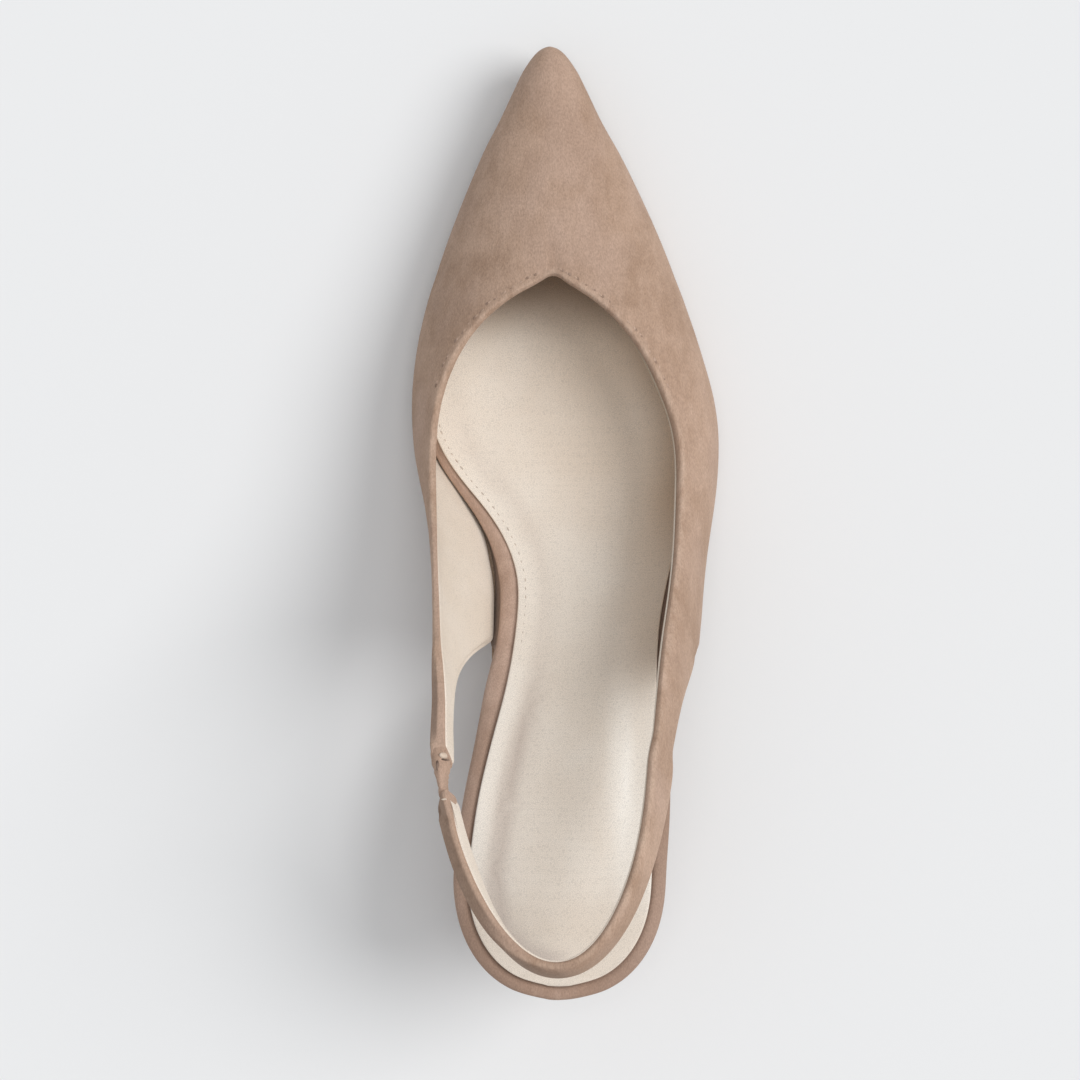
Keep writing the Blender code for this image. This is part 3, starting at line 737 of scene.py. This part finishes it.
def makeUpper():
    look = upperLook
    bm = nodeCopy("upper")
    outer = facesWithin(nearestFace(bm, look["vampSpot"]), look["sharp"])
    outerRim = rimOf(bm, outer)
    cut = {face for edge in outerRim for face in edge.link_faces if face not in outer}
    inner = set(bm.faces) - outer - cut
    innerRim = rimOf(bm, inner)
    outerVerts = {vert for edge in outerRim for vert in edge.verts}
    innerVerts = {vert for edge in innerRim for vert in edge.verts}
    bars = edgeBars(bm, cut, outerVerts, innerVerts)
    topline = [vert for vert in outerVerts if vert.co.z > look["toplineAbove"] * mm]
    walks = rimWalk(outerRim, outer, max(topline, key=lambda vert: (vert.co.y, vert.co.x)))
    quarters = {face for face in cut if face.calc_center_median().y > look["quarterEnd"] * mm}
    lower = {face for face in quarters if face.normal.z < 0.2}
    lowerRim = {vert for face in lower for vert in face.verts}
    lowerSpots = {spotOf(vert) for vert in lowerRim}
    for face in lower:    # in front the suede runs under
        face.material_index = 1 if face.calc_center_median().y < look["liningFrom"] * mm else 0
    for face in inner:
        face.material_index = 2 if face.calc_center_median().y > look["toeFrom"] * mm else 1
    rolls = [[edge for edge in rim if edgeShown(edge)] for rim in (outerRim, innerRim)]
    folds = turnSuedeIn(bm, inner, lowerRim)
    stepLining(bm, inner, folds, lowerSpots, bars)
    shapeEnds(bm, bars)
    thick = [bar["edge"] for bar in bars.values() if bar["way"].length > look["thinRim"] * mm]
    bmesh.ops.subdivide_edges(bm, edges=thick, cuts=1)
    for edges, radius in zip(rolls, (look["outerRoll"], look["innerRoll"])):
        bmesh.ops.bevel(
            bm, geom=edges, offset=radius * mm, offset_type="OFFSET", affect="EDGES", segments=3,
            profile=0.5, material=-1, clamp_overlap=False, loop_slide=True)
    piece = newPiece("suedeUpper", bm, (suede, lining, paintedShadeToeLining), ("upper",))
    subdivide(piece, look["levels"])
    rim = rimTree(rimSamples(walks[0], bars))
    foldThickEdges(piece, rim)
    return piece, walks, rim


def atLowerArch(up, spot):    # beside the lower edge on the arch side
    return up.z < 0.1 and spot.x < upperLook["archSide"]


def markUpper(piece, rim):    # brush strokes, the rubbed edge, and painted light and shade on suede and lining
    look = upperLook
    edge, brushAndPaintedLight, paintedShade, paintedEdgeShade, gapShade = addMarks(piece.data, ("edge", "brushAndPaintedLight", "paintedShade", *liningMarks))
    for vert in piece.data.vertices:
        near, over, under, way, up, inward = edgePlace(rim, vert.co)
        spot = vert.co / mm
        strap = smoothStep(*look["strapFrom"], spot.y)
        outerSide = smoothStep(*look["outerSide"], spot.x)
        edge[vert.index].value = bell(near, look["edgeWear"])
        # painted highlight where the strap's edge faces up
        ridge = smoothStep(0.7, 0.9, vert.normal.z) * smoothStep(*look["ridgeSide"], spot.x)
        tone = sum(spotTone(mark, spot.xy) for mark in brushAndPaintedShadeMarks)
        brushAndPaintedLight[vert.index].value = tone + look["paintedRidgeLight"] * strap * ridge
        # painted shade on the side away from the light and on the edge beside the lining
        away = -0.8 * vert.normal.x - 0.6 * vert.normal.y    # from the light
        side = look["paintedSideShade"] * strap * smoothStep(0.25, 0.6, away)
        lip = look["paintedLipShade"] * outerSide * smoothStep(*look["lipOver"], over)
        paintedShade[vert.index].value = max(side, lip * smoothStep(*look["lipNear"], near))
        # painted shade on the lining's edge along the outer side
        grey = ramp(look["grey"], spot.y) * outerSide
        paintedEdgeShade[vert.index].value = grey * smoothStep(*look["greyNear"], near)
        if atLowerArch(up, spot):    # painted shade behind the rand, wider towards the quarter's end
            width = ramp(look["gap"], spot.y)
            shade = look["gapShade"] * smoothStep(width, 0.3 * width, near)
            gapShade[vert.index].value = shade * within(look["gapAlong"], spot.y)


def relieveUpper(piece, rim):    # creases, slow waves, and edges drawn in or out
    look = upperLook
    tuck, tailOut, flare = [look[name] for name in ("tuck", "tailOut", "flare")]
    moves = []
    for vert in piece.data.vertices:
        near, over, under, way, up, inward = edgePlace(rim, vert.co)
        spot = vert.co / mm
        rise = look["unevenness"] * noise.noise(spot / look["waveSize"])
        if vert.normal.z > 0.2:
            rise += sum(creaseRise(crease, spot.xy) for crease in creases)
        move = vert.normal * rise * mm * (1 - bell(near, 1.0)) + pullOpen(near, up, inward, vert.co)
        if atLowerArch(up, spot) and vert.normal.x > 0.1:    # the lining is drawn in to the rand
            move.x += tuck["move"] * within(tuck["along"], spot.y) * bell(near, tuck["reach"]) * mm
        if spot.x < tailOut["beside"]:    # the tail's end leans out to the elastic
            move.x -= tailOut["move"] * within(tailOut["along"], spot.y) * mm
        if spot.x > flare["beside"]:    # the outer quarter's lower end stands off a little
            outwards = smoothStep(0.3, 0.8, vert.normal.x)
            move.x += flare["move"] * within(flare["along"], spot.y) * outwards * mm
        moves.append(move)
    shiftAll(piece.data, moves)
    for vert in piece.data.vertices:    # the toe is drawn in to its point
        along = vert.co.y / mm
        pinch = sum(share * smoothStep(low, high, along) for low, high, share in look["pinches"])
        vert.co.x -= (vert.co.x - look["toeLine"] * mm) * pinch


def pulledWalk(walk, rim):    # the topline where it lies now
    def moved(spot):
        near, over, under, way, up, inward = edgePlace(rim, spot)
        return spot + pullOpen(near, up, inward, spot)

    return [(moved(start), moved(end), inward, normal) for start, end, inward, normal in walk]


upper, toplineWalks, toplineRim = makeUpper()
markUpper(upper, toplineRim)
relieveUpper(upper, toplineRim)
report(upper)


# Stitches: small sunk threads set along a path

def setStitch(bm, spot, along, normal, size, scale=1.0):    # size is half the length, width and height, mm
    across = normal.cross(along).normalized()
    along = across.cross(normal).normalized()
    turn = Matrix((along, across, normal)).transposed().to_4x4()
    stretch = Matrix.Diagonal((*[scale * part * mm for part in size], 1.0))
    shape = Matrix.Translation(spot) @ turn @ stretch
    bmesh.ops.create_icosphere(bm, subdivisions=2, radius=1.0, matrix=shape)


def surfaceOf(piece):
    corners = [vert.co for vert in piece.data.vertices]
    return BVHTree.FromPolygons(corners, [face.vertices for face in piece.data.polygons])


toplineSeam = {
    "inset": 1.7,         # mm in from the folded edge
    "pitch": 2.5,
    "reach": 44.0,        # mm of seam each way from the throat
    "jitter": 0.5,
    "thread": (0.55, 0.3, 0.13),
    "threadSink": 0.04,   # mm into the suede
    "pit": (0.62, 0.42, 0.1),
    "pitSink": 0.08,
    "pitAhead": 0.6875,   # mm from the thread's middle to the needle's pit
    "probe": 4.0,         # mm each way, where the skin is looked for
}


def makeToplineSeam(walks):
    look = toplineSeam
    skin = surfaceOf(upper)
    threads = bmesh.new()
    pits = bmesh.new()
    for side, walk in enumerate(walks):
        gone = 0.0
        stitch = 0
        for start, end, inward, normal in walk:
            length = (end - start).length / mm
            along = (end - start).normalized()
            while (stitch + 0.5) * look["pitch"] <= min(gone + length, look["reach"]):
                sway = noise.noise_vector(Vector((stitch * 1.7, side * 9.3, 0.4))) * look["jitter"]
                spot = start + along * ((stitch + 0.5) * look["pitch"] - gone + sway.x) * mm
                spot += inward * (look["inset"] + sway.y) * mm
                stitch += 1
                above = spot + normal * look["probe"] * mm
                hit, facing = skin.ray_cast(above, -normal, 2 * look["probe"] * mm)[:2]
                if hit:
                    size = 1 + sway.z
                    thread = hit - facing * look["threadSink"] * mm
                    setStitch(threads, thread, along, facing, look["thread"], size)
                    pit = hit + along * look["pitAhead"] * mm - facing * look["pitSink"] * mm
                    setStitch(pits, pit, along, facing, look["pit"], size)
            gone += length
    report(newPiece("toplineThreads", threads, (toplineThread,)))
    report(newPiece("toplinePits", pits, (paintedPitShade,)))


makeToplineSeam([pulledWalk(walk, toplineRim) for walk in toplineWalks])


# Sock: cream leather, cupped a little, with a row of stitches along the arch

sockLook = {
    "levels": 3,
    "edgeRise": 0.4,      # mm, the margins stand higher than the middle
    "middleSink": 0.3,
    "archSide": (0.62, 0.42),     # share of the width
    "troughIn": 6.3,      # mm from the edge to the soft trough inside the arch side's margin
    "troughWidth": 2.6,
    "troughDepth": 0.4,
    "valleyIn": 6.7,      # mm from the edge to the trough's painted shade
    "valleyTone": {"values": (0.3, 1.0), "span": (-35.0, -60.0)},    # deeper towards the heel
    "marginWidth": 4.2,   # mm, painted light along the margin
    "marginFrom": (45.0, 20.0),   # mm along the shoe, it begins
    "marginTone": {"values": (0.1, 0.3), "span": (-30.0, -50.0)},    # painted lighter towards the heel
    "toeShade": (44.0, 66.0),     # mm along the shoe, the painted shade under the vamp begins
    "sideShade": {"values": (0.308, 0.55), "span": (-18.0, 8.0)},    # painted shade along the outer side
    "sideWidth": (19.0, 1.0),     # mm from the edge
    "sideEnd": (-54.0, -38.0),    # mm along the shoe
    "heelBack": (-94.0, -110.0),  # mm along the shoe, painted shade at the back
    "paintedBackShade": 0.3,
    "treadFrom": (-20.0, 15.0),   # mm along the shoe, trodden under the ball of the foot, with a painted warm shade
    "treadAcross": (0.15, 0.7),   # share of the width
    "treadTone": {"values": (0.6, 1.0), "span": (25.0, 45.0)},
    "outerEdge": {"spot": -11.0, "reach": 12.0, "move": 0.8},    # mm, the edge bows out along the waist
    "paintedLightSpots": (    # painted light: pale patches where light falls
        {"spot": (15.3, -70.0), "size": (3.4, 23.0), "tone": 0.85},
        {"spot": (4.0, -22.0), "size": (12.0, 16.0), "tone": 0.14},
    ),
    "stitchInset": 2.0,
    "stitchPitch": 2.3,
    "stitch": (0.52, 0.16, 0.07),
    "stitchSink": 0.02,   # mm into the leather
    "stitchFrom": 38.0,   # mm along the shoe
    "stitchTo": -56.0,
    "stitchFade": (-66.0, -16.0),
}


def stationTable(bm):    # the plate's left and right edge at each of its stations
    table = {}
    for vert in bm.verts:
        station = round(vert.co.y / mm, 1)
        left, right = table.get(station, (vert.co.x, vert.co.x))
        table[station] = (min(left, vert.co.x), max(right, vert.co.x))
    return sorted((station, *edges) for station, edges in table.items() if edges[1] - edges[0] > 4 * mm)


def edgesAt(table, y):
    for (before, left0, right0), (after, left1, right1) in zip(table, table[1:]):
        if before <= y <= after:
            share = (y - before) / (after - before)
            return left0 + (left1 - left0) * share, right0 + (right1 - right0) * share
    return table[0][1:] if y < table[0][0] else table[-1][1:]


def outlineTree(bm):    # points close together along the rim of a plate's flat top
    rim = rimOf(bm, flatTop(bm))
    steps = 8
    tree = KDTree(steps * len(rim))
    for place, edge in enumerate(rim):
        for part in range(steps):
            tree.insert(edge.verts[0].co.lerp(edge.verts[1].co, part / steps), place * steps + part)
    tree.balance()
    return tree


backEnd = {    # mm, the back of sock and insole
    "middle": -1.9,
    "half": 3.7,
    "bulge": 0.24,
    "span": (-119.0, -122.0),    # along the shoe
}


def roundBack(spot):    # how far the back of sock and insole bows out, so that no flat is left there
    chord = max(0.0, 1 - ((spot.x / mm - backEnd["middle"]) / backEnd["half"]) ** 2)
    return backEnd["bulge"] * chord * smoothStep(*backEnd["span"], spot.y / mm) * mm


def makeSock():
    look = sockLook
    bow = look["outerEdge"]
    bm = nodeCopy("sock")
    table = stationTable(bm)
    outline = outlineTree(bm)
    piece = newPiece("creamSock", bm, (sockLeather,), ("sock",))
    subdivide(piece, look["levels"])
    paintedSockLight, treadAndPaintedShade, paintedValleyShade, paintedWallShade, toeShade = addMarks(piece.data, sockMarks)
    for vert in piece.data.vertices:
        along = vert.co.y / mm
        left, right = edgesAt(table, along)
        across = (vert.co.x - left) / (right - left)
        inside = outline.find(vert.co)[2] / mm
        behind = smoothStep(*look["marginFrom"], along)
        back = smoothStep(*look["heelBack"], along)
        arch = behind * smoothStep(*look["archSide"], across)
        # painted light: the pale margin and the pale patches
        paintedStreak = sum(spotTone(mark, Vector(vert.co.xy) / mm) for mark in look["paintedLightSpots"])
        rubbed = ramp(look["marginTone"], along) * bell(inside, look["marginWidth"]) * behind * (1 - back)
        paintedSockLight[vert.index].value = min(1.0, rubbed + paintedStreak)
        # painted shade along the outer wall
        side = ramp(look["sideShade"], along) * smoothStep(*look["sideWidth"], (right - vert.co.x) / mm)
        paintedWallShade[vert.index].value = side * smoothStep(*look["sideEnd"], along)
        # painted shade under the vamp
        toeShade[vert.index].value = smoothStep(*look["toeShade"], along)
        # painted shade in the trough
        shade = ramp(look["valleyTone"], along) * bell(inside - look["valleyIn"], look["troughWidth"])
        paintedValleyShade[vert.index].value = shade * arch
        # tread wear, with painted warm shade towards the outer side and painted shade at the back
        treadAndWarmShade = smoothStep(*look["treadFrom"], along) * smoothStep(*look["treadAcross"], across)
        treadAndWarmShade *= ramp(look["treadTone"], along)
        treadAndPaintedShade[vert.index].value = min(1.0, treadAndWarmShade + look["paintedBackShade"] * back)
        cup = min(1.0, abs(2 * vert.co.x - left - right) / (right - left)) ** 3
        cup = max(cup, smoothStep(*backEnd["span"], along))
        trough = bell(inside - look["troughIn"], look["troughWidth"]) * arch
        rise = look["edgeRise"] * cup - look["middleSink"] * (1 - cup) - look["troughDepth"] * trough
        bowed = bow["move"] * bell(along - bow["spot"], bow["reach"]) * smoothStep(0.6, 1.0, across)
        vert.co.z += rise * mm
        vert.co.x += bowed * mm
        vert.co.y -= roundBack(vert.co)
    return piece, table, outline


def makeSockStitches(piece, table):
    look = sockLook
    skin = surfaceOf(piece)
    bm = bmesh.new()
    y = look["stitchFrom"]
    while y > look["stitchTo"]:
        edge = Vector((edgesAt(table, y)[0], y * mm, 0))
        ahead = Vector((edgesAt(table, y - 1)[0], (y - 1) * mm, 0))
        along = (ahead - edge).normalized()
        spot = edge + Vector((-along.y, along.x, 0)) * look["stitchInset"] * mm
        hit, facing = skin.ray_cast(spot + Vector((0, 0, 0.1)), Vector((0, 0, -1)))[:2]
        if hit:
            size = 1 + 0.6 * noise.noise(Vector((y * 0.9, 2.5, 0.0)))
            size *= smoothStep(*look["stitchFade"], y)
            setStitch(bm, hit - facing * look["stitchSink"] * mm, along, facing, look["stitch"], size)
        y += look["stitchPitch"] * along.y
    report(newPiece("sockStitches", bm, (sockThread,)))


sock, sockTable, sockOutline = makeSock()
report(sock)
makeSockStitches(sock, sockTable)


# Insole: board with a suede rand rolled round its rim, and a groove where the sock meets it

insoleLook = {
    "levels": 2,
    "lowerEdge": 0.5,     # how sharp the board is underneath
    "lowerFacing": -0.6,
    "from": (34.0, 24.0), # mm along the shoe, the rand begins to show
    "lip": 0.65,          # mm from the rim of the sock's flat top to the rand
    "crown": 0.45,        # mm, the rand's roll stands up in its middle
    "crownPlace": 0.45,   # share of the way to the sock
    "lipDrop": 0.36,      # mm, it falls again at the sock
    "groove": 0.9,        # mm deep, beside and under the sock's edge
    "grooveIn": 0.3,
    "bulge": 0.7,         # mm, the rand's side swells towards the lining
    "narrow": {"values": (0.33, 0.2574), "span": (0.0, -20.0)},    # share off the roll along the arch
    "narrowAlong": (-49.0, -30.0, 4.0, 24.0),   # mm along the shoe
    "boardFrom": (0.0, -28.0),    # mm along the shoe, the board under the roll stays as wide
    "archEnd": (-36.0, -34.5),    # mm along the shoe, behind this it is as narrow
    "waist": (-66.0, -40.0),      # mm along the shoe
    "outerSide": (0.0, 15.0),     # mm across the shoe
    "heelTone": -0.85,    # darker round the heel
    "outerTone": -0.75,   # and more on its outer side
    "waistTone": 1.3,     # pale along the waist
    "waistShade": 0.75,   # painted shade beside the outer quarter
    "waistOuter": (6.0, 14.0),    # mm across the shoe
    "heelShade": 0.13,
    "underShade": {"values": (0.55, 0.8), "span": (-20.0, -8.0)},  # painted shade on the board under the roll
    "mostShade": 0.95,
}


def insetTo(bm, faces, place):    # one more ring of faces inside, its inner rim put where place says
    insetAll(bm, faces, 0.3)
    moves = {vert: place(before.co, vert.co) for vert, before in insetPairs(bm, faces).items()}
    for vert, spot in moves.items():
        vert.co = spot


def randShown(spot):
    return smoothStep(*insoleLook["from"], spot.y / mm)


def rollRand(bm, outline):    # three rings: the roll's crown, its foot beside the sock, the groove
    look = insoleLook
    top = flatTop(bm)

    def besideSock(spot, reach, drop, plain):
        near = outline.find(spot)[0]
        away = Vector((spot.x - near.x, spot.y - near.y, 0)).normalized()
        target = Vector((near.x, near.y, spot.z)) + away * reach * mm
        return plain.lerp(target, randShown(spot)) - Vector((0, 0, drop * randShown(spot) * mm))

    def onCrown(old, new):
        rolled = old.lerp(besideSock(old, look["lip"], 0, new), look["crownPlace"])
        return rolled + Vector((0, 0, look["crown"] * mm * randShown(old)))

    insetTo(bm, top, onCrown)
    insetTo(bm, top, lambda old, new: besideSock(old, look["lip"], look["lipDrop"], new))
    insetTo(bm, top, lambda old, new: besideSock(old, look["grooveIn"], look["groove"], new))


def makeInsole(outline):
    look = insoleLook
    bm = nodeCopy("insole")
    keepEdges(bm, look["lowerEdge"], look["lowerFacing"])
    rollRand(bm, outline)
    piece = newPiece("wrappedInsole", bm, (randSuede,), ("insole",))
    subdivide(piece, look["levels"])
    brushAndPaintedLight, paintedShade = addMarks(piece.data, ("brushAndPaintedLight", "paintedShade"))
    moves = []
    for vert in piece.data.vertices:
        across, along = vert.co.xy / mm
        waist = smoothStep(*look["waist"], along)
        outerHeel = (1 - waist) * smoothStep(*look["outerSide"], across)
        tone = look["waistTone"] * waist + look["heelTone"]
        brushAndPaintedLight[vert.index].value = tone + look["outerTone"] * outerHeel
        move = Vector((*vert.normal.xy, 0)) * waist * look["bulge"] * mm * randShown(vert.co)
        near = outline.find(vert.co)[0]
        away = Vector((vert.co.x - near.x, vert.co.y - near.y, 0))
        beyond = away.length - look["lip"] * mm
        narrow = 0.0
        if away.x < 0 < beyond and across < 0:    # the roll along the arch
            narrow = ramp(look["narrow"], along) * within(look["narrowAlong"], along)
        board = smoothStep(-0.1, -0.5, vert.normal.z) * smoothStep(*look["boardFrom"], along)
        inFront = smoothStep(*look["archEnd"], along)
        move -= (away.normalized() * beyond + move) * narrow * (1 - board * inFront)
        move.y -= roundBack(vert.co)
        moves.append(move)
        # painted shade beside the outer quarter, round the outer heel and on the board under the roll
        shade = look["waistShade"] * waist * smoothStep(*look["waistOuter"], across)
        shade += look["heelShade"] * outerHeel
        under = ramp(look["underShade"], along) * smoothStep(0.45, 0.1, vert.normal.z)
        under *= inFront * smoothStep(0.0, 0.1, narrow)
        paintedShade[vert.index].value = min(look["mostShade"], shade + under)
    shiftAll(piece.data, moves)
    return piece


insole = makeInsole(sockOutline)
report(insole)


# Elastic: gathered suede, drawn together in short folds

elasticLook = {
    "levels": 3,
    "gather": 0.16,       # mm, height of the small folds
    "foldPitch": 2.6,
    "swayScale": 0.22,    # per mm, the folds wander
    "swayReach": 1.6,     # folds
    "strapLap": 0.9,      # mm, run into the strap's end
    "tailLap": 2.2,       # mm, and into the tail
    "flush": 0.45,        # mm, moved out to lie level with the tail's outer side
    "width": {"values": (0.76, 1.37), "span": (0.3, 1.0)},    # share of its width, strap to tail
    "flecks": (    # raw ends of the tail's upper layer and of the strap
        {"spot": (-31.8, -61.95), "size": (1.55, 0.85, 0.55)},
        {"spot": (-31.5, -72.8), "size": (0.75, 0.25, 0.22)},
    ),
    "paintedShadePockets": (    # painted shade: dark beads in the hollows beside the covered elastic and under the raw end
        {"spot": (-33.3, -64.2), "size": (0.42, 1.75, 0.4)},
        {"spot": (-31.4, -63.0), "size": (1.3, 0.25, 0.3)},
    ),
}


def makeElastic():
    look = elasticLook
    bm = nodeCopy("elastic")
    piece = newPiece("gatheredElastic", bm, (elasticSuede,), ("elastic",))
    subdivide(piece, look["levels"])
    low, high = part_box("elastic")
    middle = (low.x + high.x) / 2 / mm
    moves = []
    for vert in piece.data.vertices:
        spot = vert.co / mm
        sway = noise.noise_vector(spot * look["swayScale"])
        phase = spot.y / look["foldPitch"] + look["swayReach"] * sway.x
        fold = look["gather"] * math.sin(2 * math.pi * phase) * (0.6 + sway.y)
        share = (vert.co.y - low.y) / (high.y - low.y)
        lap = look["tailLap"] * smoothStep(0.75, 1.0, share)
        lap -= look["strapLap"] * smoothStep(0.2, 0.0, share)
        flush = look["flush"] * smoothStep(0.1, 0.6, share)
        swell = (ramp(look["width"], share) - 1) * (spot.x - middle)
        moves.append((vert.normal * fold + Vector((swell - flush, lap, 0))) * mm)
    shiftAll(piece.data, moves)
    return piece


def setOnTop(bm, pieces, mark):    # a small squashed bead on the uppermost of the pieces
    start = Vector((*[part * mm for part in mark["spot"]], 0.15))
    hits = [surfaceOf(piece).ray_cast(start, Vector((0, 0, -1))) for piece in pieces]
    hit, facing = max((found for found in hits if found[0]), key=lambda found: found[0].z)[:2]
    setStitch(bm, hit, Vector((1, 0, 0)), facing, mark["size"])


def makeTailEnd(pieces):
    beads = (("rawFlecks", "flecks", rawEdge), ("tailPaintedShade", "paintedShadePockets", paintedShadePocket))
    for name, marks, material in beads:
        bm = bmesh.new()
        for mark in elasticLook[marks]:
            setOnTop(bm, pieces, mark)
        report(newPiece(name, bm, (material,)))


elastic = makeElastic()
report(elastic)
makeTailEnd((upper, elastic))


# Sole, heel and top piece

heelLook = {"levels": 2, "edge": 0.9}    # how sharp the seat and the foot of the heel are


def makeHeel():
    bm = nodeCopy("heel")
    keepEdges(bm, heelLook["edge"])
    piece = newPiece("coveredHeel", bm, (heelSuede,), ("heel",))
    subdivide(piece, heelLook["levels"])
    report(piece)


makeHeel()
for node, material in (("outsole", soleLeather), ("heel_tip", tipRubber)):
    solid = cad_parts[node]
    solid.data.materials.clear()
    solid.data.materials.append(material)


# Floor, light and camera

stageLook = {
    "floor": (0.80, 0.80, 0.80),
    "floorSize": 40.0,    # m, so that no edge shows in a low view
    "floorDrop": 0.05,    # mm, under the tread
}
lightLook = {    # directions in plan, angles in degrees
    "key": {"from": (0.98, 0.2), "elevation": 47.0, "spread": 36.0, "strength": 1.79},
    "overhead": {"from": (1.0, 0.0), "elevation": 88.0, "spread": 30.0, "strength": 0.565},
    "sky": 0.463,
    "skyColour": (0.975, 1.0, 1.03),
}
cameraLook = {
    "height": 1.25,       # m above the floor
    "pixel": 0.2745,      # mm on the floor
    "frame": 1080,        # pixels
    "middle": (-6.885, -6.31),    # mm
    "sensor": 36.0,
}


def makeStage():
    bm = bmesh.new()
    bmesh.ops.create_grid(bm, x_segments=1, y_segments=1, size=stageLook["floorSize"] / 2)
    bmesh.ops.translate(bm, verts=bm.verts, vec=(0, 0, -stageLook["floorDrop"] * mm))
    mesh = bpy.data.meshes.new("floor")
    bm.to_mesh(mesh)
    bm.free()
    finish = {"Specular IOR Level": 0.1, "Base Color": (*stageLook["floor"], 1)}
    paper = newMaterial("paper", 0.9, finish)[0]
    mesh.materials.append(paper)
    floor = bpy.data.objects.new("floor", mesh)
    scene.collection.objects.link(floor)


def makeLight(name, look):
    plan = Vector(look["from"]).normalized()
    rise = math.radians(look["elevation"])
    way = Vector((plan.x * math.cos(rise), plan.y * math.cos(rise), math.sin(rise)))
    data = bpy.data.lights.new(name, "SUN")
    data.angle = math.radians(look["spread"])
    data.energy = look["strength"]
    lamp = bpy.data.objects.new(name, data)
    lamp.location = way
    lamp.rotation_euler = way.to_track_quat("Z", "Y").to_euler()
    scene.collection.objects.link(lamp)


def makeSky():
    world = bpy.data.worlds.new("studio")
    world.use_nodes = True
    sky = world.node_tree.nodes["Background"]
    sky.inputs["Color"].default_value = (*lightLook["skyColour"], 1)
    sky.inputs["Strength"].default_value = lightLook["sky"]
    scene.world = world


def makeCamera():
    look = cameraLook
    data = bpy.data.cameras.new("camera")
    data.sensor_width = look["sensor"]
    data.lens = look["sensor"] * look["height"] / (look["frame"] * look["pixel"] * mm)
    data.clip_start = 0.02
    camera = bpy.data.objects.new("camera", data)
    camera.location = (look["middle"][0] * mm, look["middle"][1] * mm, look["height"])
    scene.collection.objects.link(camera)
    scene.camera = camera


makeStage()
for lampName in ("key", "overhead"):
    makeLight(lampName, lightLook[lampName])
makeSky()
makeCamera()
scene.view_settings.view_transform = "Standard"
print("stage, light and camera set")
